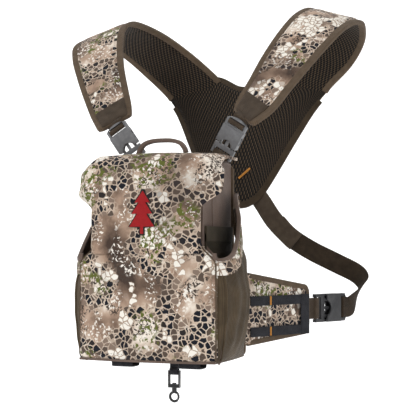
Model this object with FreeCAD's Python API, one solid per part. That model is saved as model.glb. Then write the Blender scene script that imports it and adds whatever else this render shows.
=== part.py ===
import FreeCAD, Part
import math
import os

# Binocular chest pack on a padded shoulder harness, in its worn shape.
# Origin: centre of the chest panel's rear face. +X is to the right seen from
# the front, -Y is forward away from the wearer, +Y towards the wearer, +Z up.
# Every size is in millimetres. "right" pieces lie at +X, "left" ones at -X.

# Pack body
CORNER_HALF_WIDTH = 79.0     # half width at the vertical front edges
CHEST_HALF_TOP = 64.0        # half width of the chest panel above the wings
CHEST_HALF_LOW = CORNER_HALF_WIDTH - 1.0     # the same between the wings
CHEST_STEP_Z = -8.0          # height where the chest panel steps out
CHEST_THICK = 6.0
PACK_TOP_Z = 110.0
PACK_BOTTOM_Z = -112.0
FRONT_CORNER_Y = -101.0      # vertical front edges of the outer shell
FRONT_BULGE = 9.0            # how far the middle of the front stands out
# Height and bow of the outer side
SIDE_BULGES = [(-108.7, 3.0), (-90.0, 12.0), (-40.0, 19.0), (0.0, 12.0), (60.0, 5.0)]
CORNER_ROUND = 8.0           # clipped corners of the chest panel
STIFFENER_THICK = 1.5
STIFFENER_DROP = 14.0        # from the pack's top to the stiffener's
WALL_DROP = 5.0              # from the pack's top to the compartment walls'
SHELF_DROP = 2.0             # from the pack's top to the rear shelf's
SHELL_THICK = 3.0
SHEET_THICK = 2.4
WALL_HALF_WIDTH = 64.0       # outer face of the binocular compartment's walls
WALL_THICK = 3.0
WALL_FRONT_Y = -97.0
INNER_FRONT_TOP_Z = 46.0
POCKET_GAP = 1.5             # inner pocket's gap from the compartment wall
POCKET_THICK = 2.0
POCKET_TOP_Z = 33.0
SEAM_GAP = 0.3

# Side scoop: the outer shell's upper edge, as depth and height
BAND_WIDTH = 14.0
SCOOP = [(-104.0, 4.0), (-96.0, -3.0), (-78.0, 2.0), (-62.0, 19.0), (-48.0, 38.0), (-34.0, 56.0)]
BAND_REAR_Y = -24.0

# Lid, hinged across the front at the waist
HINGE_Y = FRONT_CORNER_Y - FRONT_BULGE
HINGE_Z = 12.0
LID_THICK = 3.0
LID_HALF_WAIST = 62.0
LID_HALF_TOP = 83.0
LID_CHAMFER_LOW_Z = PACK_TOP_Z - 56.0        # where the lid widens into its wings
LID_CHAMFER_HIGH_Z = PACK_TOP_Z - 36.0
LID_WING_TOP_Z = PACK_TOP_Z - 12.0
LID_REAR_Y = -24.0
LID_WALL_GAP = 4.0           # from the pack's top to the lid's upper face at the rear
# Side profile of the lid's outer face from the hinge to the rear
LID_SIDE = [
    (HINGE_Y, HINGE_Z + 0.5), (HINGE_Y + 1.5, HINGE_Z + 38.0), (HINGE_Y + 7.5, PACK_TOP_Z - 28.0),
    (HINGE_Y + 15.0, PACK_TOP_Z - 7.0), (HINGE_Y + 26.0, PACK_TOP_Z + 2.0),
    (LID_REAR_Y, PACK_TOP_Z + LID_WALL_GAP)]
SKIRT_THICK = 2.2
SHELF_FRONT_Y = -38.0
SHELF_THICK = 3.0
MAGNET_R = 6.0
MAGNET_X = 36.0
MAGNET_Y = -30.5
MAGNET_GAP = 0.1
LID_MAGNET_THICK = 1.6
LOOP_Y = -56.0
LOOP_HALF_SPAN = 27.0
LOOP_RISE = 13.0
LOOP_CORD_R = 2.4
LOOP_GAP = 0.4

# Webbing and buckles
WEBBING_THICK = 1.6
SHOULDER_WEBBING = 20.0
WAIST_WEBBING = 25.0
BUCKLE_BASE = 20.0           # webbing width that the buckle's sizes are given for
BUCKLE_HALF_WIDTH = 13.5
BUCKLE_BAR_R = 1.7           # lower bar
MID_BAR_HEIGHT = 39.8        # from the lower bar to the female half's mid bar
RUN_GAP = 0.35

# Shoulder buckles: the lower bar's centre and the way the buckle points
TAB_POINT = (53.0, -10.0, PACK_TOP_Z + 6.0)
TAB_LENGTH = 18.0
BUCKLE_UP = (26.0, -8.0, 41.0)
BUCKLE_ACROSS = (41.0, 0.0, -26.0)

# Wings at the pack's rear corners
WING_ANGLE = 65.0            # turned back from the chest panel's plane
WING_LENGTH = 108.0
WING_THICK = 5.0
WING_ROOT = (CHEST_HALF_LOW + 1.2, -3.0)     # hinge line in plan
WING_ROOT_Z = (-99.0, -19.0)
WING_END_Z = (-90.0, -35.0)
WING_ROW_Z = (-85.0, -50.0)
WING_ROW_WIDTH = 11.0
WING_STRIP_WIDTH = 15.0
WING_START = 3.2
BUCKLE_Z = -62.0
TAIL_LENGTH = 14.0

# Bottom webbing and tether hook
BOTTOM_LOOP_X = 40.0
BOTTOM_LOOP_Y = (-76.0, -54.0)
BOTTOM_LOOP_DROP = 8.5
HOOK_Y = -20.0
HOOK_TAB_WIDTH = 10.0
HOOK_TAB_DROP = 18.0
HOOK_BAR_R = 1.5
EYE_HALF_WIDTH = 7.0
EYE_HEIGHT = 18.0
EYE_THICK = 4.4
EYE_FLOOR = 4.0              # lower wall of the eye, bored for the pin
PIN_R = 1.2
PIN_GAP = 0.05
HOOK_RING_R = 5.2
HOOK_WIRE_R = 1.5
BARREL_R = 2.8
GATE_HALF_ANGLE = 44.0
GATE_PIVOT_GAP = 9.0         # angle left free below the gate for it to turn
NOSE_SPARE = 14.0            # angle added to both ends before the level cut
GATE_TIP_HEIGHT = 3.5        # level cut between the gate's tip and the ring's nose
GATE_TIP_GAP = 0.35

# Harness: edge points of the right shoulder pad from the buckle over the
# shoulder to the yoke, each as neck-side point and arm-side point, with heights
# above the pack's top
PAD_THICK = 7.0
PAD_EDGES = [
    ((66, 3, 58), (95, -21, 38)),
    ((70, 9, 72), (112, -4, 55)),
    ((79, 19, 93), (128, 9, 79)),
    ((91, 33, 123), (146, 26, 107)),
    ((103, 57, 154), (163, 46, 134)),
    ((113, 86, 179), (175, 72, 156)),
    ((119, 125, 194), (180, 115, 172)),
    ((118, 170, 197), (178, 165, 178)),
    ((104, 210, 188), (167, 212, 165)),
    ((77, 234, 165), (146, 235, 142)),
    ((48, 243, 138), (119, 236, 116)),
]
FRONT_PAD_LAST = 6           # edge pair where the front pad joins the back pad
PAD_JOIN_GAP = 0.3
# Right half of the yoke's outline from its notch down, and its tilted plane's
# lower and upper depth and height. Heights are above the pack's top.
YOKE_OUTLINE = [
    (0, 119), (16, 122), (47, 136), (117, 114), (94, 83), (72, 42), (38, -23), (19, -41), (0, -44)]
YOKE_BOTTOM = (183.0, -44.0)
YOKE_TOP = (238.0, 119.0)
YOKE_THICK = 6.0
# Webbing on the right: centre and direction across the strap. The yoke tail and
# the belt's first two points hang from the yoke, the others are set by the wing.
YOKE_TAIL = [
    ((24, 181, PACK_TOP_Z - 26), (0.62, 0.0, 0.78)),
    ((38, 184, PACK_TOP_Z - 40), (0.62, 0.0, 0.78)),
    ((55, 185, PACK_TOP_Z - 64), (0.70, 0.0, 0.71)),
    ((76, 184, PACK_TOP_Z - 85), (0.62, 0.0, 0.78)),
]
BELT_ROUTE = [
    ((58, 189, PACK_TOP_Z - 67), (0.70, 0.0, 0.71)),
    ((76, 188, PACK_TOP_Z - 85), (0.60, 0.0, 0.80)),
    ((WING_ROOT[0] + 22.8, 190, BUCKLE_Z + 70), (0.50, 0.0, 0.86)),
    ((WING_ROOT[0] + 56.8, 193, BUCKLE_Z + 53), (0.44, 0.0, 0.90)),
    ((WING_ROOT[0] + 80.8, 194, BUCKLE_Z + 41), (0.48, -0.10, 0.87)),
    ((WING_ROOT[0] + 90.8, 189, BUCKLE_Z + 31), (0.56, -0.22, 0.80)),
    ((WING_ROOT[0] + 88.8, 180, BUCKLE_Z + 19), (0.50, -0.24, 0.83)),
]

ORIGIN = FreeCAD.Vector(0, 0, 0)
X_AXIS = FreeCAD.Vector(1, 0, 0)
Y_AXIS = FreeCAD.Vector(0, 1, 0)
Z_AXIS = FreeCAD.Vector(0, 0, 1)


def vec(point):
    """Turn three numbers into a vector."""
    return FreeCAD.Vector(*point)


def block(x_range, y_range, z_range):
    """Make a box from its three pairs of limits."""
    size = [high - low for low, high in (x_range, y_range, z_range)]
    return Part.makeBox(*size, FreeCAD.Vector(x_range[0], y_range[0], z_range[0]))


def prism(points, travel):
    """Extrude a closed polygon of 3-D points along a vector."""
    return Part.Face(Part.makePolygon([vec(p) for p in points] + [vec(points[0])])).extrude(vec(travel))


def prism_yz(points, x_range):
    """Extrude a polygon of depth and height points between two X limits."""
    return prism([(x_range[0], y, z) for y, z in points], (x_range[1] - x_range[0], 0, 0))


def prism_xz(points, y_range):
    """Extrude a polygon of width and height points between two Y limits."""
    return prism([(x, y_range[0], z) for x, z in points], (0, y_range[1] - y_range[0], 0))


def mirrored(shape):
    """Mirror a right-hand shape to the left."""
    return shape.mirror(ORIGIN, X_AXIS)


def bowed_outline(start, bow, end, thickness, height):
    """Closed plan outline of a sheet along a shallow arc, bowed by a vector."""
    bow_vector = vec((*bow, 0))
    inward = bow_vector * (-thickness / bow_vector.Length)
    corners = [vec((*start, height)), vec((*end, height))]
    middle = (corners[0] + corners[1]) * 0.5 + bow_vector
    outer = Part.Arc(corners[0], middle, corners[1]).toShape()
    inner = Part.Arc(corners[1] + inward, middle + inward, corners[0] + inward).toShape()
    close = Part.makeLine(corners[1], corners[1] + inward)
    back = Part.makeLine(corners[0] + inward, corners[0])
    return Part.Wire([outer, close, inner, back])


def bowed_sheet(start, bow, end, thickness, z_range):
    """Upright sheet with one bow over its whole height."""
    outline = bowed_outline(start, bow, end, thickness, z_range[0])
    return Part.Face(outline).extrude(FreeCAD.Vector(0, 0, z_range[1] - z_range[0]))


def face_normals(edge_pairs):
    """Unit normals of a strap's face at each pair of edge points."""
    middles = [(vec(a) + vec(b)) * 0.5 for a, b in edge_pairs]
    normals = []
    for index, (edge_a, edge_b) in enumerate(edge_pairs):
        before = middles[max(index - 1, 0)]
        after = middles[min(index + 1, len(middles) - 1)]
        normal = (vec(edge_b) - vec(edge_a)).cross(after - before)
        normal.normalize()
        normals.append(normal)
    return normals


def band(edge_pairs, normals, thickness):
    """Loft a strap through pairs of edge points, with the thickness along the normals."""
    wires = []
    for (edge_a, edge_b), normal in zip(edge_pairs, normals):
        offset = normal * (thickness / 2)
        corners = [vec(edge_a) - offset, vec(edge_b) - offset, vec(edge_b) + offset, vec(edge_a) + offset]
        wires.append(Part.makePolygon(corners + [corners[0]]))
    return Part.makeLoft(wires, True, True)


def strap(route, width, thickness):
    """Loft a strap along centre points, each with its direction across the strap."""
    pairs = []
    for centre, across in route:
        half = vec(across)
        half.normalize()
        half = half * (width / 2)
        pairs.append((tuple(vec(centre) - half), tuple(vec(centre) + half)))
    return band(pairs, face_normals(pairs), thickness)


def placed(shape, origin, across, along):
    """Move a shape drawn across X and along Z so that those axes take new directions."""
    along = vec(along)
    along.normalize()
    across = vec(across)
    across = across - along * across.dot(along)
    across.normalize()
    through = along.cross(across)
    matrix = FreeCAD.Matrix(
        across.x, through.x, along.x, origin[0],
        across.y, through.y, along.y, origin[1],
        across.z, through.z, along.z, origin[2],
        0, 0, 0, 1)
    moved = shape.copy()
    moved.Placement = FreeCAD.Placement(matrix).multiply(shape.Placement)
    return moved


def save(name, shape):
    """Write one node."""
    shape.exportStep("parts/" + name + ".step")


def save_pair(name, shape):
    """Write a right-hand node and its mirror image."""
    save("right_" + name, shape)
    save("left_" + name, mirrored(shape))


# Pack body

def chest_panel():
    """Padded panel against the wearer, wider between the wings."""
    top = PACK_TOP_Z - 4
    step_rise = CHEST_HALF_LOW - CHEST_HALF_TOP
    half = [
        (CHEST_HALF_TOP - CORNER_ROUND, top), (CHEST_HALF_TOP, top - CORNER_ROUND),
        (CHEST_HALF_TOP, CHEST_STEP_Z + step_rise), (CHEST_HALF_LOW, CHEST_STEP_Z),
        (CHEST_HALF_LOW, PACK_BOTTOM_Z + CORNER_ROUND), (CHEST_HALF_LOW - CORNER_ROUND, PACK_BOTTOM_Z)]
    outline = half + [(-x, z) for x, z in reversed(half)]
    return prism_xz(outline, (-CHEST_THICK, 0))


def stiffener_sheet():
    """Plastic sheet that keeps the compartment's back flat."""
    half = WALL_HALF_WIDTH - WALL_THICK - 1
    front = -CHEST_THICK - SEAM_GAP
    z_range = (PACK_BOTTOM_Z + CORNER_ROUND, PACK_TOP_Z - STIFFENER_DROP)
    return block((-half, half), (front - STIFFENER_THICK, front), z_range)


def side_wall():
    """Side wall of the binocular compartment."""
    low = PACK_BOTTOM_Z + SHELL_THICK + SEAM_GAP
    top = PACK_TOP_Z - WALL_DROP
    rear = -CHEST_THICK - SEAM_GAP
    outline = [
        (WALL_FRONT_Y, low), (rear, low), (rear, top), (WALL_FRONT_Y + 16, top), (WALL_FRONT_Y + 2, top - 17),
        (WALL_FRONT_Y, HINGE_Z)]
    return prism_yz(outline, (WALL_HALF_WIDTH - WALL_THICK, WALL_HALF_WIDTH))


def inner_front_wall():
    """Low front wall of the binocular compartment."""
    half = WALL_HALF_WIDTH - WALL_THICK - SEAM_GAP
    low = PACK_BOTTOM_Z + SHELL_THICK + SEAM_GAP
    return block((-half, half), (WALL_FRONT_Y, WALL_FRONT_Y + SHEET_THICK), (low, INNER_FRONT_TOP_Z))


def front_arc(thickness, z_range):
    """Bowed front sheet between the two front corners."""
    left = (-CORNER_HALF_WIDTH, FRONT_CORNER_Y)
    right = (CORNER_HALF_WIDTH, FRONT_CORNER_Y)
    return bowed_sheet(left, (0, -FRONT_BULGE), right, thickness, z_range)


def front_shell():
    """Outer front panel, narrowing to the waist where the lid hinges."""
    sheet = front_arc(SHELL_THICK, (PACK_BOTTOM_Z + SHELL_THICK + SEAM_GAP, HINGE_Z))
    wide = CORNER_HALF_WIDTH + 1
    half = [(LID_HALF_WAIST, HINGE_Z), (wide, SCOOP[1][1]), (wide, PACK_BOTTOM_Z)]
    outline = half + [(-x, z) for x, z in reversed(half)]
    depth = (FRONT_CORNER_Y - 2 * FRONT_BULGE, FRONT_CORNER_Y + 2 * FRONT_BULGE)
    return sheet.common(prism_xz(outline, depth))


def side_sheet():
    """Side sheet from the front corner to the chest panel, bowed most at pocket height."""
    front = (CORNER_HALF_WIDTH, FRONT_CORNER_Y + SHELL_THICK + SEAM_GAP)
    rear = (CORNER_HALF_WIDTH, -CHEST_THICK - SEAM_GAP)
    outlines = [
        bowed_outline(front, (bow, 0), rear, SHEET_THICK, height) for height, bow in SIDE_BULGES]
    return Part.makeLoft(outlines, True, True)


def band_low_edge():
    """Lower edge of the side band, parallel to the scoop."""
    rear = (BAND_REAR_Y, SCOOP[-2][1] - BAND_WIDTH + 8)
    return [(y + 2, z - BAND_WIDTH) for y, z in SCOOP[:-1]] + [rear]


def side_band():
    """Strip of the outer shell that edges the side scoop."""
    sheet = side_sheet()
    outline = SCOOP + [(BAND_REAR_Y, SCOOP[-1][1] - 4)] + list(reversed(band_low_edge()))
    return sheet.common(prism_yz(outline, (CORNER_HALF_WIDTH - 10, CORNER_HALF_WIDTH + 30)))


def side_gusset():
    """Stretch panel of the outer side pocket, below the band."""
    sheet = side_sheet()
    edge = [(y, z - SEAM_GAP) for y, z in band_low_edge()]
    outline = edge + [
        (-CHEST_THICK, edge[-1][1] - 6), (-CHEST_THICK, PACK_BOTTOM_Z + 12), (-18, PACK_BOTTOM_Z),
        (HINGE_Y, PACK_BOTTOM_Z)]
    return sheet.common(prism_yz(outline, (CORNER_HALF_WIDTH - 10, CORNER_HALF_WIDTH + 30)))


def inner_pocket():
    """Flat stretch pocket on the outside of the compartment wall."""
    low_x = WALL_HALF_WIDTH + POCKET_GAP
    low = PACK_BOTTOM_Z + SHELL_THICK + 2
    front, rear = WALL_FRONT_Y + 4, -CHEST_THICK - 3
    outline = [(front, low), (rear, low), (rear, POCKET_TOP_Z + 1), (front, POCKET_TOP_Z)]
    return prism_yz(outline, (low_x, low_x + POCKET_THICK))


def bottom_panel():
    """Bottom of the pack, under the shell and the compartment."""
    z_low = PACK_BOTTOM_Z
    rear = -CHEST_THICK - SEAM_GAP
    corners = [
        FreeCAD.Vector(-CORNER_HALF_WIDTH, FRONT_CORNER_Y, z_low),
        FreeCAD.Vector(0, FRONT_CORNER_Y - FRONT_BULGE, z_low),
        FreeCAD.Vector(CORNER_HALF_WIDTH, FRONT_CORNER_Y, z_low)]
    front = Part.Arc(*corners).toShape()
    wide = CORNER_HALF_WIDTH + 2
    narrow = CHEST_HALF_LOW - CORNER_ROUND
    others = Part.makePolygon([
        corners[2], FreeCAD.Vector(wide, -18, z_low), FreeCAD.Vector(narrow, rear, z_low),
        FreeCAD.Vector(-narrow, rear, z_low), FreeCAD.Vector(-wide, -18, z_low), corners[0]])
    return Part.Face(Part.Wire([front] + others.Edges)).extrude(FreeCAD.Vector(0, 0, SHELL_THICK))


def rear_shelf():
    """Narrow shelf behind the lid that holds its magnets' partners."""
    half = WALL_HALF_WIDTH - WALL_THICK - SEAM_GAP
    z_top = PACK_TOP_Z - SHELF_DROP
    shelf = block((-half, half), (SHELF_FRONT_Y, -CHEST_THICK - SEAM_GAP), (z_top - SHELF_THICK, z_top))
    return shelf.cut(magnet_pair(z_top - SHELF_THICK - 1, SHELF_THICK + 2, MAGNET_GAP))


def magnet_pair(z_low, height, gap):
    """Two discs at the magnets' places."""
    discs = [
        Part.makeCylinder(MAGNET_R + gap, height, FreeCAD.Vector(x, MAGNET_Y, z_low), Z_AXIS)
        for x in (-MAGNET_X, MAGNET_X)]
    return Part.makeCompound(discs)


def bottom_loop():
    """Webbing loop under the pack for hanging an accessory."""
    x_range = (BOTTOM_LOOP_X - WAIST_WEBBING / 2, BOTTOM_LOOP_X + WAIST_WEBBING / 2)
    front, rear = BOTTOM_LOOP_Y
    z_top = PACK_BOTTOM_Z - 0.1
    z_low = z_top - BOTTOM_LOOP_DROP
    loop = block(x_range, BOTTOM_LOOP_Y, (z_low, z_top))
    inner_y = (front + WEBBING_THICK, rear - WEBBING_THICK)
    inner_z = (z_low + WEBBING_THICK, z_top - WEBBING_THICK)
    return loop.cut(block((x_range[0] - 1, x_range[1] + 1), inner_y, inner_z))


# Lid

def lid_side_profile():
    """Side profile of the bent lid sheet as a closed outline."""
    inner = []
    for index, (y, z) in enumerate(LID_SIDE):
        before = LID_SIDE[max(index - 1, 0)]
        after = LID_SIDE[min(index + 1, len(LID_SIDE) - 1)]
        length = math.hypot(after[0] - before[0], after[1] - before[1])
        scale = LID_THICK / length
        inner.append((y + scale * (after[1] - before[1]), z - scale * (after[0] - before[0])))
    return LID_SIDE + list(reversed(inner))


def lid_panel():
    """Lid in one bent piece: front, top and two side skirts."""
    sheet = prism_yz(lid_side_profile(), (-LID_HALF_TOP, LID_HALF_TOP))
    half = [
        (LID_HALF_WAIST, HINGE_Z), (LID_HALF_WAIST, LID_CHAMFER_LOW_Z), (LID_HALF_TOP, LID_CHAMFER_HIGH_Z),
        (LID_HALF_TOP, LID_WING_TOP_Z), (LID_HALF_TOP - 9, PACK_TOP_Z + 10)]
    outline = half + [(-x, z) for x, z in reversed(half)]
    sheet = sheet.common(prism_xz(outline, (HINGE_Y - 10, 0)))
    skirt = [
        (HINGE_Y + 6.5, LID_CHAMFER_HIGH_Z + 2), (HINGE_Y + 14.5, PACK_TOP_Z - 16),
        (HINGE_Y + 25, PACK_TOP_Z - 13), (HINGE_Y + 25, LID_CHAMFER_HIGH_Z + 14),
        (HINGE_Y + 20, LID_CHAMFER_HIGH_Z + 4)]
    side = prism_yz(skirt, (LID_HALF_TOP - SKIRT_THICK, LID_HALF_TOP))
    lid = sheet.fuse([side, mirrored(side)]).removeSplitter()
    return lid.cut(magnet_pair(PACK_TOP_Z, LID_MAGNET_THICK + 1, MAGNET_GAP))


def lid_loop():
    """Rolled webbing loop on top of the lid, hinged on its two sewn ends."""
    base_z = LID_SIDE[-1][1] + LOOP_CORD_R + LOOP_GAP
    span, rise = LOOP_HALF_SPAN, LOOP_RISE
    half = [(span, 0), (span - 4, rise * 0.7), (span - 14, rise)]
    points = [(-x, z) for x, z in half] + list(reversed(half))
    path = Part.makePolygon([FreeCAD.Vector(x, LOOP_Y, base_z + z) for x, z in points])
    start = path.Vertexes[0].Point
    toward = path.Vertexes[1].Point - start
    circle = Part.Wire([Part.makeCircle(LOOP_CORD_R, start, toward)])
    return path.makePipeShell([circle], True, False, 1)


# Buckles: drawn across X, through Y and along Z from the lower bar's centre

def loop_around_bar(width, bar_half_y, bar_half_z, tail):
    """Webbing folded round a bar, with its tail running down from the bar."""
    in_y = bar_half_y + RUN_GAP
    in_z = bar_half_z + RUN_GAP
    out_y = in_y + WEBBING_THICK
    out_z = in_z + WEBBING_THICK
    outline = [
        (-out_y, out_z), (out_y, out_z), (out_y, -in_z), (WEBBING_THICK, -in_z - out_y),
        (WEBBING_THICK, -tail),
        (-WEBBING_THICK, -tail), (-WEBBING_THICK, -in_z - out_y), (-out_y, -in_z)]
    loop = prism_yz(outline, (-width / 2, width / 2))
    return loop.cut(block((-width, width), (-in_y, in_y), (-in_z, in_z)))


def scaled_range(low, high, scale):
    """Limits of one side of a buckle feature at the buckle's scale."""
    return (low * scale, high * scale)


def wide_range(scale):
    """Limits of a buckle's full width."""
    return scaled_range(-BUCKLE_HALF_WIDTH, BUCKLE_HALF_WIDTH, scale)


def buckle_male(webbing):
    """Male half's frame: webbing bar, slot, shoulder and centre guide."""
    k = webbing / BUCKLE_BASE
    half_slot = webbing / 2 + 0.5 * k
    body = block(wide_range(k), scaled_range(-2, 2, k), scaled_range(-1.7, 11.3, k))
    body = body.cut(block((-half_slot, half_slot), scaled_range(-3, 3, k), scaled_range(-3, 6.3, k)))
    start = FreeCAD.Vector(-BUCKLE_HALF_WIDTH * k, 0, 0)
    bar = Part.makeCylinder(BUCKLE_BAR_R * k, 2 * BUCKLE_HALF_WIDTH * k, start, X_AXIS)
    guide = block(scaled_range(-1.5, 1.5, k), scaled_range(-1.4, 1.4, k), scaled_range(11, 28, k))
    return body.fuse([bar, guide]).removeSplitter()


def buckle_prong(webbing):
    """Springy side prong with its barb, on the +X side."""
    k = webbing / BUCKLE_BASE
    outline = [(6.5, 11.6), (9.5, 11.6), (9.5, 20.8), (13.2, 20.8), (13.2, 25.3), (9.5, 31.3), (6.5, 31.3)]
    return prism_xz([(x * k, z * k) for x, z in outline], scaled_range(-1.8, 1.8, k))


def buckle_female(webbing):
    """Female half: hollow body with side windows, mid bar and arched end bar."""
    k = webbing / BUCKLE_BASE
    body = block(wide_range(k), scaled_range(-4, 4, k), scaled_range(13.5, 34.3, k))
    hollow_depth = scaled_range(-2.4, 2.4, k)
    body = body.cut(block(scaled_range(-11.6, 11.6, k), hollow_depth, scaled_range(13, 32.9, k)))
    body = body.cut(block(scaled_range(-14, 14, k), hollow_depth, scaled_range(19.9, 29.1, k)))
    mouth = Part.makeCylinder(8 * k, 10 * k, FreeCAD.Vector(0, -5 * k, 11.3 * k), Y_AXIS)
    frame = block(wide_range(k), scaled_range(-2, 2, k), scaled_range(34, 46.3, k))
    half_slot = webbing / 2 + 0.5 * k
    for low, high in ((35.8, 38.8), (40.8, 43.8)):
        frame = frame.cut(block((-half_slot, half_slot), scaled_range(-3, 3, k), scaled_range(low, high, k)))
    arch = Part.makeCylinder(26 * k, 10 * k, FreeCAD.Vector(0, -5 * k, 20.3 * k), Y_AXIS)
    return body.cut(mouth).fuse(frame.common(arch)).removeSplitter()


def end_webbing(webbing, tail):
    """Webbing wrapped round the female half's mid bar, running on behind the arch."""
    k = webbing / BUCKLE_BASE
    bar_z = MID_BAR_HEIGHT * k
    in_y = 2 * k + RUN_GAP
    in_z = 1.0 * k + RUN_GAP
    out_y = in_y + WEBBING_THICK
    out_z = in_z + WEBBING_THICK
    ring = block((-webbing / 2, webbing / 2), (-out_y, out_y), (bar_z - out_z, bar_z + out_z))
    ring = ring.cut(block((-webbing, webbing), (-in_y, in_y), (bar_z - in_z, bar_z + in_z)))
    run = block((-webbing / 2, webbing / 2), (in_y, out_y), (bar_z, bar_z + tail))
    return ring.fuse(run).removeSplitter()


def save_buckle(name, webbing, origin, across, along):
    """Write the four pieces of one buckle on both sides of the harness."""
    prong = buckle_prong(webbing)
    pieces = {
        "male": buckle_male(webbing),
        "female": buckle_female(webbing),
        "outer_prong": prong,
        "inner_prong": mirrored(prong),
    }
    for piece, shape in pieces.items():
        save_pair(name + "_" + piece, placed(shape, origin, across, along))


# Wings

def wing_frame(point):
    """Turn a wing point of length, height and outward offset into the row frame."""
    angle = math.radians(WING_ANGLE)
    length, height, out = point
    x = WING_ROOT[0] + length * math.cos(angle) + out * math.sin(angle)
    y = WING_ROOT[1] + length * math.sin(angle) - out * math.cos(angle)
    return (x, y, height)


def wing_plate(outline, out_range):
    """Extrude an outline of length and height points across the wing."""
    start = [wing_frame((s, z, out_range[0])) for s, z in outline]
    travel = vec(wing_frame((0, 0, out_range[1]))) - vec(wing_frame((0, 0, out_range[0])))
    return prism(start, tuple(travel))


def wing_panel():
    """Padded wing with a tapered outline and clipped end corners."""
    outline = [
        (WING_START, WING_ROOT_Z[0]), (WING_LENGTH - 7, WING_END_Z[0]), (WING_LENGTH, WING_END_Z[0] + 7),
        (WING_LENGTH, WING_END_Z[1] - 7), (WING_LENGTH - 7, WING_END_Z[1]), (WING_START, WING_ROOT_Z[1])]
    return wing_plate(outline, (-WING_THICK / 2, WING_THICK / 2))


def wing_webbing():
    """Two webbing rows and the end strip on the wing's outer face."""
    face = WING_THICK / 2 + 0.1
    out_range = (face, face + WEBBING_THICK)
    low, high = WING_ROW_Z
    half = WING_ROW_WIDTH / 2
    start = WING_START + 2
    end = WING_LENGTH - 3
    strip = end - WING_STRIP_WIDTH
    outline = [
        (start, low - half), (end, low - half), (end, high + half), (start, high + half),
        (start, high - half), (strip, high - half), (strip, low + half), (start, low + half)]
    return wing_plate(outline, out_range)


def waist_buckle_origin():
    """Centre of the waist buckle's lower bar."""
    return wing_frame((WING_LENGTH + TAIL_LENGTH, BUCKLE_Z, 0))


def wing_direction():
    """Direction along the wing."""
    angle = math.radians(WING_ANGLE)
    return (math.cos(angle), math.sin(angle), 0)


def wing_tail():
    """Webbing from the wing's end round the waist buckle's lower bar."""
    k = WAIST_WEBBING / BUCKLE_BASE
    bar = BUCKLE_BAR_R * k
    loop = loop_around_bar(WAIST_WEBBING, bar, bar, TAIL_LENGTH - SEAM_GAP)
    return placed(loop, waist_buckle_origin(), (0, 0, 1), wing_direction())


def belt_webbing():
    """Belt webbing from the waist buckle, turning up and back to the yoke tail."""
    start = placed(end_webbing(WAIST_WEBBING, 14), waist_buckle_origin(), (0, 0, 1), wing_direction())
    route = BELT_ROUTE + belt_link()
    return start.fuse(strap(route, WAIST_WEBBING, WEBBING_THICK)).removeSplitter()


def belt_link():
    """Last points of the belt's route, on the run behind the waist buckle's arch."""
    k = WAIST_WEBBING / BUCKLE_BASE
    out = 2 * k + RUN_GAP + WEBBING_THICK / 2
    base = WING_LENGTH + TAIL_LENGTH + MID_BAR_HEIGHT * k
    return [
        (wing_frame((base + 16, BUCKLE_Z + 4, out)), (0.12, -0.06, 0.99)),
        (wing_frame((base + 9, BUCKLE_Z, out)), (0.0, 0.0, 1.0)),
    ]


# Harness

def yoke_plane(height):
    """Depth of the yoke's tilted plane at a height above the pack's top."""
    slope = (YOKE_TOP[0] - YOKE_BOTTOM[0]) / (YOKE_TOP[1] - YOKE_BOTTOM[1])
    return YOKE_BOTTOM[0] + slope * (height - YOKE_BOTTOM[1])


def yoke_panel():
    """Padded yoke between the shoulder blades."""
    outline = YOKE_OUTLINE + [(-x, z) for x, z in reversed(YOKE_OUTLINE[1:-1])]
    points = [(x, yoke_plane(z), PACK_TOP_Z + z) for x, z in outline]
    along = FreeCAD.Vector(0, YOKE_TOP[0] - YOKE_BOTTOM[0], YOKE_TOP[1] - YOKE_BOTTOM[1])
    normal = along.cross(X_AXIS)
    normal.normalize()
    return prism(points, tuple(normal * YOKE_THICK))


def pad_between(first, last):
    """Shoulder pad between two edge pairs, clear of the next pad by the join gap."""
    normals = face_normals(PAD_EDGES)[first:last + 1]
    rise = FreeCAD.Vector(0, 0, PACK_TOP_Z)
    pairs = [[vec(a) + rise, vec(b) + rise] for a, b in PAD_EDGES[first:last + 1]]
    for end, neighbour in ((0, 1), (-1, -2)):
        for side in (0, 1):
            step = pairs[neighbour][side] - pairs[end][side]
            step.normalize()
            pairs[end][side] = pairs[end][side] + step * PAD_JOIN_GAP
    return band([(tuple(a), tuple(b)) for a, b in pairs], normals, PAD_THICK)


def shoulder_tab():
    """Webbing tab from the pack's rear top edge round the shoulder buckle's lower bar."""
    loop = loop_around_bar(SHOULDER_WEBBING, BUCKLE_BAR_R, BUCKLE_BAR_R, TAB_LENGTH)
    loop = placed(loop, TAB_POINT, BUCKLE_ACROSS, BUCKLE_UP)
    shelf_top = PACK_TOP_Z - SHELF_DROP
    around_y = (TAB_POINT[1] - 30, TAB_POINT[1] + 30)
    below = block((0, 2 * TAB_POINT[0]), around_y, (shelf_top - 40, shelf_top + 0.1))
    return loop.cut(below)


def shoulder_webbing():
    """Short webbing from the shoulder buckle's mid bar to the pad's end."""
    return placed(end_webbing(SHOULDER_WEBBING, 10), TAB_POINT, BUCKLE_ACROSS, BUCKLE_UP)


# Tether hook

def hook_bar_point():
    """Centre of the hook eye's bar."""
    return (0, HOOK_Y, PACK_BOTTOM_Z - HOOK_TAB_DROP)


def hook_tab():
    """Webbing tab under the pack that the hook hangs from."""
    loop = loop_around_bar(HOOK_TAB_WIDTH, HOOK_BAR_R, HOOK_BAR_R, HOOK_TAB_DROP - SEAM_GAP)
    return placed(loop, hook_bar_point(), (1, 0, 0), (0, 0, -1))


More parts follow.
